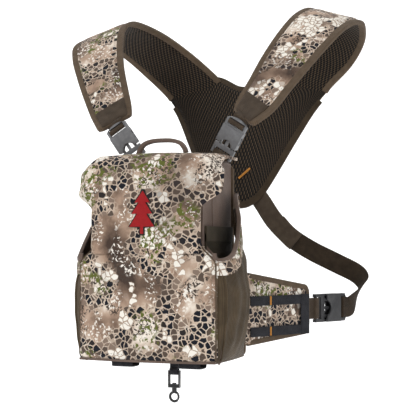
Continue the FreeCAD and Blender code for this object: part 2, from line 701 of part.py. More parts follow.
def hook_eye():
    """Eye with a round bar for the webbing and a bore for the swivel pin."""
    _, y, z = hook_bar_point()
    half = EYE_THICK / 2
    inside = HOOK_TAB_WIDTH / 2 + 0.5
    low = z - EYE_HEIGHT
    outer = block((-EYE_HALF_WIDTH, EYE_HALF_WIDTH), (y - half, y + half), (low, z + HOOK_BAR_R))
    hole = block((-inside, inside), (y - 9, y + 9), (low + EYE_FLOOR, z + 9))
    bar = Part.makeCylinder(HOOK_BAR_R, 2 * EYE_HALF_WIDTH, FreeCAD.Vector(-EYE_HALF_WIDTH, y, z), X_AXIS)
    bore = Part.makeCylinder(PIN_R + PIN_GAP, EYE_FLOOR + 2, FreeCAD.Vector(0, y, low - 1), Z_AXIS)
    return outer.cut(hole).fuse(bar).cut(bore).removeSplitter()


def hook_centre():
    """Centre of the hook's ring."""
    _, y, z = hook_bar_point()
    return FreeCAD.Vector(0, y, z - EYE_HEIGHT - 3.5 - HOOK_RING_R - HOOK_WIRE_R)


def ring_sector(start, end, tube):
    """Arc of the hook's ring in the front plane, angles from +X turning up."""
    centre = hook_centre()
    angles = [math.radians(a) for a in (start, (start + end) / 2, end)]
    points = [centre + FreeCAD.Vector(math.cos(a), 0, math.sin(a)) * HOOK_RING_R for a in angles]
    path = Part.Wire([Part.Arc(*points).toShape()])
    tangent = FreeCAD.Vector(-math.sin(angles[0]), 0, math.cos(angles[0]))
    return path.makePipeShell([Part.Wire([Part.makeCircle(tube, points[0], tangent)])], True, True)


def hook_body():
    """Snap hook: pin head, pin, barrel and open ring."""
    centre = hook_centre()
    _, y, z = hook_bar_point()
    eye_low = z - EYE_HEIGHT
    head = Part.makeCylinder(PIN_R + 1.1, 1.2, FreeCAD.Vector(0, y, eye_low + EYE_FLOOR + 0.2), Z_AXIS)
    pin = Part.makeCylinder(PIN_R, 6, FreeCAD.Vector(0, y, eye_low - 1.5), Z_AXIS)
    barrel_low = centre.z + HOOK_RING_R - 1
    barrel = Part.makeCylinder(BARREL_R, eye_low - 0.3 - barrel_low, FreeCAD.Vector(0, y, barrel_low), Z_AXIS)
    ring = ring_sector(GATE_HALF_ANGLE - NOSE_SPARE, 360 - GATE_HALF_ANGLE, HOOK_WIRE_R)
    nose = centre.z + GATE_TIP_HEIGHT
    below_nose = block((0, 2 * HOOK_RING_R), (y - 9, y + 9), (centre.z, nose))
    return head.fuse([pin, barrel, ring.cut(below_nose)]).removeSplitter()


def hook_gate():
    """Sprung gate that closes the ring's opening, cut level under the ring's nose."""
    centre = hook_centre()
    gate = ring_sector(-GATE_HALF_ANGLE + GATE_PIVOT_GAP, GATE_HALF_ANGLE + NOSE_SPARE, HOOK_WIRE_R * 0.8)
    tip = centre.z + GATE_TIP_HEIGHT - GATE_TIP_GAP
    above_tip = block((0, 2 * HOOK_RING_R), (centre.y - 9, centre.y + 9), (tip, tip + HOOK_RING_R))
    return gate.cut(above_tip)


def save_pack():
    """Write the pack body's nodes."""
    save("chest_panel", chest_panel())
    save("stiffener_sheet", stiffener_sheet())
    save("inner_front_wall", inner_front_wall())
    save("front_shell", front_shell())
    save("bottom_panel", bottom_panel())
    save("rear_shelf", rear_shelf())
    save("shelf_magnets", magnet_pair(PACK_TOP_Z - SHELF_DROP - SHELF_THICK, SHELF_THICK, 0))
    save_pair("side_wall", side_wall())
    save_pair("side_gusset", side_gusset())
    save_pair("side_band", side_band())
    save_pair("inner_pocket", inner_pocket())
    save_pair("bottom_loop", bottom_loop())


def save_lid():
    """Write the lid's nodes."""
    save("lid_panel", lid_panel())
    save("lid_magnets", magnet_pair(PACK_TOP_Z + 0.6, LID_MAGNET_THICK, 0))
    save("lid_loop", lid_loop())


def save_harness():
    """Write the harness, wings and buckles."""
    save("yoke_panel", yoke_panel())
    save_pair("front_pad", pad_between(0, FRONT_PAD_LAST))
    save_pair("back_pad", pad_between(FRONT_PAD_LAST, len(PAD_EDGES) - 1))
    save_pair("shoulder_tab", shoulder_tab())
    save_pair("shoulder_webbing", shoulder_webbing())
    save_pair("yoke_tail", strap(YOKE_TAIL, WAIST_WEBBING, WEBBING_THICK))
    save_pair("belt_webbing", belt_webbing())
    save_pair("wing_panel", wing_panel())
    save_pair("wing_webbing", wing_webbing())
    save_pair("wing_tail", wing_tail())
    save_buckle("shoulder_buckle", SHOULDER_WEBBING, TAB_POINT, BUCKLE_ACROSS, BUCKLE_UP)
    save_buckle("waist_buckle", WAIST_WEBBING, waist_buckle_origin(), (0, 0, 1), wing_direction())


def save_hook():
    """Write the tether hook's nodes."""
    save("hook_tab", hook_tab())
    save("hook_eye", hook_eye())
    save("hook_body", hook_body())
    save("hook_gate", hook_gate())


os.makedirs("parts", exist_ok=True)
save_pack()
save_lid()
save_harness()
save_hook()
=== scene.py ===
import logging
import math
from dataclasses import dataclass
from enum import Enum
from typing import Optional, Sequence

import bmesh
import bpy
import numpy as np
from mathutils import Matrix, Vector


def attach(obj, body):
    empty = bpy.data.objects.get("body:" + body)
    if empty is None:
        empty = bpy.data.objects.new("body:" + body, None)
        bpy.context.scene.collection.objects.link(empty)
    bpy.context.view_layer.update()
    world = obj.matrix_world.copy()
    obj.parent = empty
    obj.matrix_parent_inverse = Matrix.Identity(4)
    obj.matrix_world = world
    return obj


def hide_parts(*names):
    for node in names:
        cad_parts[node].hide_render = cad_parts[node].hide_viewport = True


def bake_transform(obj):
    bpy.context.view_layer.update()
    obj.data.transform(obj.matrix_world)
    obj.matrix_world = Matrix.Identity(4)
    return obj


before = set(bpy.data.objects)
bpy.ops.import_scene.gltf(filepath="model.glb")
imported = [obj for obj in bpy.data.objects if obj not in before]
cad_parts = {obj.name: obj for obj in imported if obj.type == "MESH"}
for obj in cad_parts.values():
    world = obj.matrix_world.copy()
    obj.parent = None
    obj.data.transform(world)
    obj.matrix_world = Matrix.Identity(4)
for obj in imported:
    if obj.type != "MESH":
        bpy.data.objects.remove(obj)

# Binocular harness pack: camouflage cloth pack with a forward-opening lid, padded
# mesh-lined harness, side-release buckles, wings with webbing rows and a tether hook.
# Sizes below are in millimetres and turned into metres when a mesh is made.

LOG = logging.getLogger("harness_pack")
MM = 0.001
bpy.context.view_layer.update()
Colour = tuple[float, float, float]
Array = np.ndarray
Socket = bpy.types.NodeSocket
Material = bpy.types.Material
Piece = bpy.types.Object
TINY = 1e-9
MERGE_M = 1e-6
SHARP_DEG = 50.0


class Side(Enum):
    """Half of the symmetric harness; the value is the sign of X."""

    RIGHT = 1
    LEFT = -1

    def node(self, name: str) -> str:
        """Name of this side's CAD node or body."""
        return f"{self.name.lower()}_{name}"

    def mirror(self, points: Array) -> Array:
        """Points of the right half moved to this half."""
        return points * np.array([self.value, 1.0, 1.0])


# ---------------------------------------------------------------- materials

class Board:
    """A material's node tree with short ways to add the nodes used here."""

    def __init__(self, name: str) -> None:
        """Start an empty material with a Principled shader.

        Args:
            name: the material's name.
        """
        self.material = bpy.data.materials.new(name)
        self.material.use_nodes = True
        self.tree = self.material.node_tree
        self.tree.nodes.clear()
        self.shader = self.tree.nodes.new("ShaderNodeBsdfPrincipled")
        output = self.tree.nodes.new("ShaderNodeOutputMaterial")
        self.tree.links.new(self.shader.outputs[0], output.inputs[0])

    def plug(self, socket: Socket, value: object) -> None:
        """Link a socket into an input, or set the input's number or colour.

        Args:
            socket: the input.
            value: an output socket, a number, or a tuple.
        """
        if isinstance(value, Socket):
            self.tree.links.new(value, socket)
        elif isinstance(value, tuple) and socket.type == "RGBA":
            socket.default_value = (*value, 1.0)
        else:
            socket.default_value = value

    def coords(self, kind: str = "Object") -> Socket:
        """Texture coordinates of one kind."""
        return self.tree.nodes.new("ShaderNodeTexCoord").outputs[kind]

    def maths(self, operation: str, *values: object) -> Socket:
        """Result of a Math node.

        Args:
            operation: the node's operation.
            values: sockets or numbers, in the node's order.

        Returns:
            The result's socket.
        """
        node = self.tree.nodes.new("ShaderNodeMath")
        node.operation = operation
        for socket, value in zip(node.inputs, values):
            self.plug(socket, value)
        return node.outputs[0]

    def split(self, vector: object) -> tuple[Socket, ...]:
        """Take a vector apart.

        Args:
            vector: the vector's socket.

        Returns:
            The sockets of X, Y and Z.
        """
        node = self.tree.nodes.new("ShaderNodeSeparateXYZ")
        self.plug(node.inputs[0], vector)
        return tuple(node.outputs)

    def noise(self, vector: object, scale: float, detail: float = 2.0, colour: bool = False) -> Socket:
        """Fractal noise.

        Args:
            vector: where it is read.
            scale: its scale per metre.
            detail: how many octaves it has.
            colour: whether three values are wanted instead of one.

        Returns:
            The noise's socket.
        """
        node = self.tree.nodes.new("ShaderNodeTexNoise")
        self.plug(node.inputs["Vector"], vector)
        node.inputs["Scale"].default_value = scale
        node.inputs["Detail"].default_value = detail
        return node.outputs["Color" if colour else "Fac"]

    def cells(self, vector: object, scale: float, feature: str) -> bpy.types.Node:
        """Voronoi cells.

        Args:
            vector: where they are read.
            scale: their scale per metre.
            feature: the node's feature.

        Returns:
            The node, whose outputs hold colour, distance and place.
        """
        node = self.tree.nodes.new("ShaderNodeTexVoronoi")
        node.feature = feature
        self.plug(node.inputs["Vector"], vector)
        node.inputs["Scale"].default_value = scale
        return node

    def ramp(self, factor: object, stops: Sequence[tuple[float, Colour]], hard: bool = False) -> Socket:
        """Colour ramp with the given stops.

        Args:
            factor: the value that is looked up.
            stops: place and colour of each stop.
            hard: whether the colours change in steps.

        Returns:
            The colour socket.
        """
        node = self.tree.nodes.new("ShaderNodeValToRGB")
        node.color_ramp.interpolation = "CONSTANT" if hard else "LINEAR"
        elements = node.color_ramp.elements
        while len(elements) < len(stops):
            elements.new(0.5)
        for element, (place, colour) in zip(elements, stops):
            element.position = place
            element.color = (*colour, 1.0)
        self.plug(node.inputs[0], factor)
        return node.outputs[0]

    def mix(self, factor: object, first: object, second: object) -> Socket:
        """Colour between two others.

        Args:
            factor: 0 for the first colour, 1 for the second.
            first: the first colour.
            second: the second colour.

        Returns:
            The colour's socket.
        """
        node = self.tree.nodes.new("ShaderNodeMix")
        node.data_type = "RGBA"
        self.plug(node.inputs[0], factor)
        self.plug(node.inputs[6], first)
        self.plug(node.inputs[7], second)
        return node.outputs[2]

    def step(self, value: object, low: float, high: float) -> Socket:
        """Smooth step of a value.

        Args:
            value: the value.
            low: where the step gives 0.
            high: where it gives 1, above or below low.

        Returns:
            The step's socket.
        """
        node = self.tree.nodes.new("ShaderNodeMapRange")
        node.interpolation_type = "SMOOTHSTEP"
        self.plug(node.inputs[0], value)
        node.inputs[1].default_value = low
        node.inputs[2].default_value = high
        return node.outputs[0]

    def patches(self, vector: object, scale: float, detail: float, low: float, high: float) -> Socket:
        """Patches of noise: the noise value after a smooth step from low to high."""
        return self.step(self.noise(vector, scale, detail), low, high)

    def off_middle(self, vector: object, scale: float) -> Socket:
        """Distance of a smooth noise value from its middle value."""
        return self.maths("ABSOLUTE", self.maths("SUBTRACT", self.noise(vector, scale, 1.0), 0.5))

    def waves(self, value: object, pitch: float) -> Socket:
        """Sine of a length that repeats every pitch metres."""
        return self.maths("SINE", self.maths("MULTIPLY", value, 2 * math.pi / pitch))

    def bump(self, height: object, depth: float, under: Optional[object] = None) -> Socket:
        """Bump normal of a height field.

        Args:
            height: the height, from 0 to 1.
            depth: what a height of 1 stands for, in metres.
            under: a normal that is bumped further, if any.

        Returns:
            The normal's socket.
        """
        node = self.tree.nodes.new("ShaderNodeBump")
        node.inputs["Distance"].default_value = depth
        self.plug(node.inputs["Height"], height)
        if under is not None:
            self.plug(node.inputs["Normal"], under)
        return node.outputs[0]

    def finish(self, colour: object, roughness: object, normal: object = None, sheen: float = 0.0,
               specular: float = 0.18) -> Material:
        """Set the shader and hand over the material.

        Args:
            colour: base colour.
            roughness: roughness.
            normal: bump normal, if any.
            sheen: constant sheen weight.
            specular: specular level, low for cloth.

        Returns:
            The finished material.
        """
        self.plug(self.shader.inputs["Base Color"], colour)
        self.plug(self.shader.inputs["Roughness"], roughness)
        self.shader.inputs["Sheen Weight"].default_value = sheen
        self.shader.inputs["Specular IOR Level"].default_value = specular
        if normal is not None:
            self.plug(self.shader.inputs["Normal"], normal)
        return self.material


GROUND_STOPS = (
    (0.34, (0.055, 0.035, 0.026)), (0.43, (0.17, 0.112, 0.080)), (0.50, (0.34, 0.235, 0.170)),
    (0.56, (0.45, 0.335, 0.255)), (0.64, (0.72, 0.64, 0.55)))
CHAIN_STOPS = (
    (0.0, (0.008, 0.009, 0.014)), (0.026, (0.020, 0.016, 0.016)), (0.034, (0.085, 0.061, 0.048)),
    (0.056, (0.200, 0.145, 0.112)))
GRIT_BROWN = (0.055, 0.040, 0.032)
CHIP_WHITE = (0.76, 0.71, 0.64)
JOINT_TAN = (0.56, 0.455, 0.36)
CLUSTER_WHITE = (0.78, 0.74, 0.67)
CLUSTER_JOINT = (0.30, 0.22, 0.16)
LEAF_GREEN = (0.10, 0.115, 0.022)
MURK_BROWN = (0.07, 0.048, 0.036)


@dataclass(frozen=True)
class CamoCloth:
    """Cracked-mud camouflage print: chains of dark cells and clusters of pale ones on a tan ground."""

    name: str = "camo_cloth"
    cell_mm: float = 6.1
    chain_per_m: float = 17.0

    def build(self) -> Material:
        """Make the material.

        Cells are Voronoi cells of a warped object position. A slow noise read
        at a cell's own centre says what it is: near the noise's middle value
        lie chains of black cells with grey-brown ones beside them, a second
        noise gives clusters of white cells, and the others stay ground colour.

        Returns:
            The material.
        """
        board = Board(self.name)
        place = board.coords()
        warp = board.tree.nodes.new("ShaderNodeVectorMath")
        warp.operation = "MULTIPLY_ADD"
        board.plug(warp.inputs[0], board.noise(place, 110.0, 3.0, colour=True))
        warp.inputs[1].default_value = (0.005, 0.005, 0.005)
        board.plug(warp.inputs[2], place)
        bent = warp.outputs[0]
        scale = 1.0 / (self.cell_mm * MM)
        cell = board.cells(bent, scale, "F1")
        edge = board.cells(bent, scale, "DISTANCE_TO_EDGE").outputs["Distance"]
        centre = cell.outputs["Position"]
        chance = board.maths("SUBTRACT", board.split(cell.outputs["Color"])[0], 0.5)
        ridge = board.maths("MULTIPLY_ADD", chance, 0.022, board.off_middle(centre, self.chain_per_m))
        near_ridge = board.off_middle(place, self.chain_per_m)
        pale = board.maths("MULTIPLY_ADD", chance, 0.10, board.noise(centre, 27.0, 1.0))
        ground = self.ground(board, place, bent)
        joint = board.mix(board.maths("MULTIPLY", board.step(near_ridge, 0.11, 0.05), 0.7), ground, JOINT_TAN)
        dark = board.ramp(ridge, CHAIN_STOPS, hard=True)
        inside = board.mix(board.step(ridge, 0.072, 0.076), dark, ground)
        white = board.step(pale, 0.615, 0.622)
        inside = board.mix(white, inside, CLUSTER_WHITE)
        joint = board.mix(board.maths("MULTIPLY", white, 0.7), joint, CLUSTER_JOINT)
        width = board.maths("MULTIPLY_ADD", board.noise(place, 70.0), 0.075, 0.035)
        solid = board.step(board.maths("SUBTRACT", edge, width), -0.02, 0.035)
        printed = board.mix(solid, joint, inside)
        spots = board.patches(bent, 230.0, 3.0, 0.52, 0.56)
        stands = board.patches(place, 17.0, 2.0, 0.535, 0.58)
        leafy = board.mix(board.maths("MULTIPLY", spots, stands), printed, LEAF_GREEN)
        murk = board.maths("MULTIPLY", board.patches(place, 12.0, 3.0, 0.53, 0.66), 0.5)
        colour = board.mix(murk, leafy, board.mix(0.8, leafy, MURK_BROWN))
        grain = board.noise(place, 2600.0, 2.0)
        soft = board.noise(place, 260.0, 3.0)
        normal = board.bump(grain, 0.0002, board.bump(soft, 0.0006))
        return board.finish(colour, 0.9, normal, sheen=0.05)

    def ground(self, board: Board, place: Socket, bent: Socket) -> Socket:
        """Tan ground under the cells, with dark grit and pale chips in some places.

        Args:
            board: the material's node tree.
            place: object position.
            bent: warped object position.

        Returns:
            The ground's colour.
        """
        ground = board.ramp(board.noise(bent, 21.0, 7.0), GROUND_STOPS)
        grains = board.patches(bent, 420.0, 4.0, 0.50, 0.53)
        gritty = board.patches(place, 30.0, 2.0, 0.50, 0.55)
        ground = board.mix(board.maths("MULTIPLY", grains, gritty), ground, GRIT_BROWN)
        chips = board.patches(bent, 330.0, 4.0, 0.55, 0.58)
        chipped = board.patches(place, 26.0, 2.0, 0.49, 0.44)
        return board.mix(board.maths("MULTIPLY", chips, chipped), ground, CHIP_WHITE)


@dataclass(frozen=True)
class SpacerMesh:
    """Open spacer mesh: rows of staggered oval holes, mapped on the cloth's own UV."""

    name: str = "mesh_cloth"
    strand: Colour = (0.080, 0.052, 0.030)
    hole: Colour = (0.005, 0.004, 0.003)
    pitch_mm: tuple[float, float] = (4.4, 7.2)
    hole_share: tuple[float, float] = (0.37, 0.37)

    def build(self) -> Material:
        """Make the material.

        Two lattices of ellipses, one shifted half a pitch both ways, give the
        staggered holes: a hole is where the elliptic distance to the nearer
        lattice's point is small.

        Returns:
            The material.
        """
        board = Board(self.name)
        across, along, _ = board.split(board.coords("UV"))
        squares = []
        for shift in (0.0, 0.5):
            parts = []
            for value, pitch, share in zip((across, along), self.pitch_mm, self.hole_share):
                place = board.maths("ADD", board.maths("DIVIDE", value, pitch * MM), shift)
                away = board.maths("ABSOLUTE", board.maths("SUBTRACT", board.maths("FRACT", place), 0.5))
                parts.append(board.maths("POWER", board.maths("DIVIDE", away, share), 2.0))
            squares.append(board.maths("ADD", *parts))
        rim = board.step(board.maths("MINIMUM", *squares), 0.62, 1.05)
        tint = board.mix(board.noise(board.coords(), 90.0), self.strand, (0.104, 0.069, 0.040))
        colour = board.mix(rim, self.hole, tint)
        thread = board.bump(board.noise(board.coords(), 3000.0), 0.0002)
        return board.finish(colour, 0.8, board.bump(rim, 0.0011, thread), sheen=0.04)


@dataclass(frozen=True)
class Webbing:
    """Woven strap: fine lengthwise yarns crossed by ribs, on the strap's own UV."""

    name: str
    colour: Colour
    light: Colour
    rib_mm: float = 1.5
    yarn_mm: float = 1.9
    sheen: float = 0.04

    def build(self) -> Material:
        """Make the material: ribs that lean by half the place across, like a twill, times the yarns.

        Returns:
            The material.
        """
        board = Board(self.name)
        across, along, _ = board.split(board.coords("UV"))
        lean = board.maths("ADD", along, board.maths("MULTIPLY", board.maths("ABSOLUTE", across), 0.5))
        rib = board.waves(lean, self.rib_mm * MM)
        yarn = board.waves(across, self.yarn_mm * MM)
        weave = board.maths("MULTIPLY", rib, yarn)
        worn = board.noise(board.coords(), 120.0, 4.0)
        tone = board.maths("MULTIPLY_ADD", weave, 0.16, board.maths("MULTIPLY", worn, 0.6))
        share = board.step(tone, 0.05, 0.6)
        colour = board.mix(share, self.colour, self.light)
        return board.finish(colour, 0.82, board.bump(weave, 0.00035), sheen=self.sheen)


@dataclass(frozen=True)
class PlainCloth:
    """Smooth or ribbed cloth in one hue, with ribs along one object axis."""

    name: str
    colour: Colour
    light: Colour
    rib_mm: float = 0.0
    rib_axis: int = 1
    roughness: float = 0.8
    sheen: float = 0.05

    def build(self) -> Material:
        """Make the material: slow noise shades the hue and fine ribs give the knit.

        Returns:
            The material.
        """
        board = Board(self.name)
        place = board.coords()
        shade = board.step(board.noise(place, 45.0, 5.0), 0.3, 0.75)
        colour = board.mix(shade, self.colour, self.light)
        normal = board.bump(board.noise(place, 2200.0, 2.0), 0.00025)
        if self.rib_mm:
            ribs = board.waves(board.split(place)[self.rib_axis], self.rib_mm * MM)
            colour = board.mix(board.step(ribs, -1.0, 1.0), colour, board.mix(0.35, colour, self.colour))
            normal = board.bump(ribs, 0.0003, normal)
        return board.finish(colour, self.roughness, normal, sheen=self.sheen)


@dataclass(frozen=True)
class MouldedPlastic:
    """Moulded acetal: fine grain, worn paler and smoother in places."""

    name: str
    colour: Colour
    light: Colour
    roughness: float = 0.42

    def build(self) -> Material:
        """Make the material: noise shades the hue and the roughness alike.

        Returns:
            The material.
        """
        board = Board(self.name)
        place = board.coords()
        wear = board.noise(place, 160.0, 5.0)
        colour = board.mix(board.step(wear, 0.35, 0.75), self.colour, self.light)
        rough = board.maths("ADD", self.roughness - 0.08, board.maths("MULTIPLY", wear, 0.2))
        return board.finish(colour, rough, board.bump(board.noise(place, 1800.0, 2.0), 0.00008), specular=0.5)


@dataclass(frozen=True)
class Thread:
    """Sewing thread laid side by side, as in satin stitch and bartacks."""

    name: str
    colour: Colour
    light: Colour
    pitch_mm: float = 0.55
    axis: int = 2

    def build(self) -> Material:
        """Make the material: close ridges along one axis with a soft gloss.

        Returns:
            The material.
        """
        board = Board(self.name)
        place = board.coords()
        ridge = board.waves(board.split(place)[self.axis], self.pitch_mm * MM)
        shade = board.step(board.maths("ADD", ridge, board.noise(place, 300.0)), -0.6, 1.6)
        colour = board.mix(shade, self.colour, self.light)
        return board.finish(colour, 0.5, board.bump(ridge, 0.0003))


class Finishes:
    """All materials of the pack, made once."""

    def __init__(self) -> None:
        """Build every material."""
        self.camo = CamoCloth().build()
        self.strap_camo = CamoCloth("camo_strap", 5.6, 25.0).build()
        self.mesh = SpacerMesh().build()
        self.binding = Webbing("binding", (0.088, 0.060, 0.037), (0.155, 0.108, 0.070), 1.1, 2.4).build()
        self.edging = Webbing("dark_binding", (0.040, 0.026, 0.014), (0.074, 0.050, 0.029), 1.1, 2.4).build()
        self.brown = Webbing("brown_webbing", (0.045, 0.031, 0.020), (0.095, 0.068, 0.046)).build()
        self.dark = Webbing("dark_webbing", (0.019, 0.012, 0.006), (0.050, 0.032, 0.018)).build()
        self.black = Webbing("black_webbing", (0.008, 0.008, 0.011), (0.035, 0.035, 0.042)).build()
        taupe = PlainCloth("taupe_cloth", (0.105, 0.073, 0.058), (0.155, 0.110, 0.088), roughness=0.62)
        self.taupe = taupe.build()
        olive = PlainCloth("olive_stretch", (0.056, 0.038, 0.020), (0.100, 0.070, 0.040), 1.6, roughness=0.6)
        self.stretch = olive.build()
        # Pocket cloth: the olive stretch's own colour darkened to about half its brightness; the extra
        # darkness is painted shade, the shadow that falls in the scoop over the pocket.
        self.pocket = PlainCloth("shade_darkened_stretch", (0.026, 0.019, 0.009), (0.056, 0.042, 0.022), 1.3, 2).build()
        self.hem = PlainCloth("olive_hem", (0.045, 0.034, 0.019), (0.085, 0.065, 0.040), 1.0, 2).build()
        self.grey = MouldedPlastic("grey_plastic", (0.115, 0.115, 0.12), (0.165, 0.165, 0.17)).build()
        self.charcoal = MouldedPlastic("dark_plastic", (0.016, 0.016, 0.018), (0.032, 0.032, 0.035)).build()
        self.gloss = MouldedPlastic("black_plastic", (0.006, 0.006, 0.007), (0.02, 0.02, 0.022), 0.28).build()
        self.steel = MouldedPlastic("steel_magnet", (0.45, 0.45, 0.47), (0.62, 0.62, 0.64), 0.3).build()
        self.sheet = MouldedPlastic("white_sheet", (0.62, 0.62, 0.60), (0.75, 0.75, 0.73), 0.5).build()
        self.red = Thread("red_thread", (0.38, 0.010, 0.014), (0.72, 0.028, 0.035)).build()
        self.outline = Thread("outline_thread", (0.012, 0.016, 0.014), (0.04, 0.05, 0.045)).build()
        self.orange = Thread("orange_thread", (0.80, 0.26, 0.03), (1.0, 0.48, 0.10)).build()
        self.stitch = Thread("stitch_thread", (0.10, 0.08, 0.06), (0.19, 0.155, 0.125)).build()


# ---------------------------------------------------------------- meshes

def link(name: str, mesh: bpy.types.Mesh, sharp_deg: Optional[float] = SHARP_DEG) -> Piece:
    """Shade a mesh smooth and put it into the scene.

    Args:
        name: the piece's name.
        mesh: its mesh.
        sharp_deg: edges sharper than this are kept sharp, none if it is None.

    Returns:
        The object.
    """
    mesh.polygons.foreach_set("use_smooth", np.ones(len(mesh.polygons), bool))
    if sharp_deg is not None:
        mesh.set_sharp_from_angle(angle=math.radians(sharp_deg))
    made = bpy.data.objects.new(name, mesh)
    bpy.context.scene.collection.objects.link(made)
    return made


def put_mesh(name: str, points: Array, faces: Array, uv: Array, slots: Array,
             materials: Sequence[Material]) -> Piece:
    """Make a mesh object from arrays.

    Args:
        name: the piece's name.
        points: vertex places in millimetres, (n, 3).
        faces: quads as vertex numbers, (f, 4).
        uv: UV in metres for each face corner, (f, 4, 2).
        slots: material number of each face, (f,).
        materials: the materials.

    Returns:
        The object, linked into the scene.
    """
    mesh = bpy.data.meshes.new(name)
    mesh.vertices.add(len(points))
    mesh.vertices.foreach_set("co", (points * MM).astype(np.float32).ravel())
    mesh.loops.add(faces.size)
    mesh.loops.foreach_set("vertex_index", faces.astype(np.int32).ravel())
    mesh.polygons.add(len(faces))
    mesh.polygons.foreach_set("loop_start", np.arange(0, faces.size, 4, dtype=np.int32))
    mesh.polygons.foreach_set("material_index", slots.astype(np.int32))
    layer = mesh.uv_layers.new(name="cloth")
    layer.data.foreach_set("uv", uv.astype(np.float32).ravel())
    for material in materials:
        mesh.materials.append(material)
    mesh.update(calc_edges=True)
    mesh.validate()
    return link(name, mesh)


def quads(rows: int, columns: int, start: int = 0, flip: bool = False, wrap: bool = False) -> Array:
    """Vertex numbers of a grid's faces.

    Args:
        rows: the grid's rows.
        columns: its columns.
        start: number of its first vertex.
        flip: whether the faces look the other way.
        wrap: whether the last column joins the first, as on a tube.

    Returns:
        The faces, (f, 4).
    """
    grid = np.arange(rows * columns).reshape(rows, columns) + start
    if wrap:
        grid = np.concatenate([grid, grid[:, :1]], axis=1)
    faces = np.stack([grid[:-1, :-1], grid[:-1, 1:], grid[1:, 1:], grid[1:, :-1]], axis=-1).reshape(-1, 4)
    return faces[:, ::-1] if flip else faces


def lengths(grid: Array) -> tuple[Array, Array]:
    """Distances run across and along a grid, measured on the cloth itself.

    Args:
        grid: points, (rows, columns, 3) in millimetres.

    Returns:
        Distance from the middle column, and mean distance from the first row, in metres.
    """
    down = np.linalg.norm(np.diff(grid, axis=0), axis=2)
    over = np.linalg.norm(np.diff(grid, axis=1), axis=2)
    along = np.concatenate([np.zeros((1, grid.shape[1])), np.cumsum(down, axis=0)]).mean(axis=1) * MM
    across = np.concatenate([np.zeros((grid.shape[0], 1)), np.cumsum(over, axis=1)], axis=1)
    across = (across - across[:, -1:] / 2) * MM
    return across, np.repeat(along[:, None], grid.shape[1], axis=1)


def slab(name: str, outer: Array, inner: Array, materials: Sequence[Material],
         side: Side = Side.RIGHT) -> Piece:
    """Close two matching grids into a cloth sheet with thickness.

    The faces of the outer grid take the first material, all the others the
    last. The rims are strips between the two grids' borders.

    Args:
        name: the piece's name.
        outer: outer surface, (rows, columns, 3) in millimetres.
        inner: inner surface on the same grid.
        materials: outer material and, if it differs, inner material.
        side: the half that it goes to; the grids are given for the right one.

    Returns:
        The object.
    """
    outer, inner = side.mirror(outer), side.mirror(inner)
    rows, columns = outer.shape[:2]
    count = rows * columns
    points = np.concatenate([outer.reshape(-1, 3), inner.reshape(-1, 3)])
    grid = np.arange(count).reshape(rows, columns)
    border = np.concatenate([grid[0, :-1], grid[:-1, -1], grid[-1, :0:-1], grid[:0:-1, 0]])
    after = np.roll(border, -1)
    rim = np.stack([after, border, border + count, after + count], axis=-1)
    faces = np.concatenate([quads(rows, columns), quads(rows, columns, count, flip=True), rim])
    across, along = lengths(outer)
    flat = np.stack([across.ravel(), along.ravel()], axis=-1)
    uv = np.concatenate([flat, flat])[faces]
    slots = np.full(len(faces), len(materials) - 1)
    slots[: (rows - 1) * (columns - 1)] = 0
    return facing_out(put_mesh(name, points, faces, uv, slots, materials))


def facing_out(made: Piece) -> Piece:
    """Turn a closed mesh's faces outwards.

    Args:
        made: the object.

    Returns:
        The same object.
    """
    work = bmesh.new()
    work.from_mesh(made.data)
    bmesh.ops.remove_doubles(work, verts=work.verts, dist=MERGE_M)
    bmesh.ops.recalc_face_normals(work, faces=work.faces)
    work.to_mesh(made.data)
    work.free()
    return made


def normals_of(grid: Array) -> Array:
    """Unit normals of a grid: the cross product of its two gradients."""
    return unit(np.cross(np.gradient(grid, axis=1), np.gradient(grid, axis=0)))


def run_of(points: Array) -> Array:
    """Distance run from the first of a line's points to each of them."""
    return np.concatenate([[0], np.cumsum(np.linalg.norm(np.diff(points, axis=0), axis=1))])


def join(x: object, y: object, z: object) -> Array:
    """Points from coordinates that are spread over each other's rows and columns."""
    return np.stack(np.broadcast_arrays(x, y, z), axis=-1)


def same(direction: Sequence[float], count: int) -> Array:
    """One direction, repeated for every point of a line."""
    return np.repeat(np.array([direction], float), count, axis=0)


def smooth_line(points: Sequence[Sequence[float]], count: int) -> Array:
    """Catmull-Rom curve through points, sampled evenly by length.

    Args:
        points: the points, (n, k).
        count: how many samples.

    Returns:
        The samples, (count, k).
    """
    given = np.array(points, float)
    ends = np.concatenate([[2 * given[0] - given[1]], given, [2 * given[-1] - given[-2]]])
    share = np.linspace(0, len(given) - 1, 40 * len(given))
    part = np.minimum(share.astype(int), len(given) - 2)
    t = (share - part)[:, None]
    a, b, c, d = (ends[part + k] for k in range(4))
    curve = 0.5 * (2 * b + (c - a) * t + (2 * a - 5 * b + 4 * c - d) * t**2 + (3 * b - a - 3 * c + d) * t**3)
    run = run_of(curve)
    even = np.linspace(0, run[-1], count)
    return np.stack([np.interp(even, run, curve[:, k]) for k in range(given.shape[1])], axis=-1)


def unit(vectors: Array) -> Array:
    """Vectors scaled to length one."""
    return vectors / np.maximum(np.linalg.norm(vectors, axis=-1, keepdims=True), TINY)


def smoothstep(value: Array, low: float, high: float) -> Array:
    """0 at low, 1 at high, with the cubic 3 t^2 - 2 t^3 between them."""
    t = np.clip((value - low) / (high - low), 0, 1)
    return t * t * (3 - 2 * t)


def ripple(a: Array, b: Array, pitch: float, seed: int) -> Array:
    """Soft wrinkles: the mean of six sine waves in directions drawn at random.

    Args:
        a: place one way, in millimetres.
        b: place the other way.
        pitch: length of the middling wave.
        seed: seed of the directions and phases.

    Returns:
        Heights between -1 and 1.
    """
    turns = np.random.default_rng(seed).uniform(0, 2 * math.pi, (6, 2))
    pitches = pitch * np.array([1.0, 0.7, 1.35, 0.55, 0.9, 1.8])
    waves = [
        np.sin((a * math.cos(turn) + b * math.sin(turn)) * 2 * math.pi / length + phase)
        for (turn, phase), length in zip(turns, pitches)]
    return sum(waves) / len(waves)


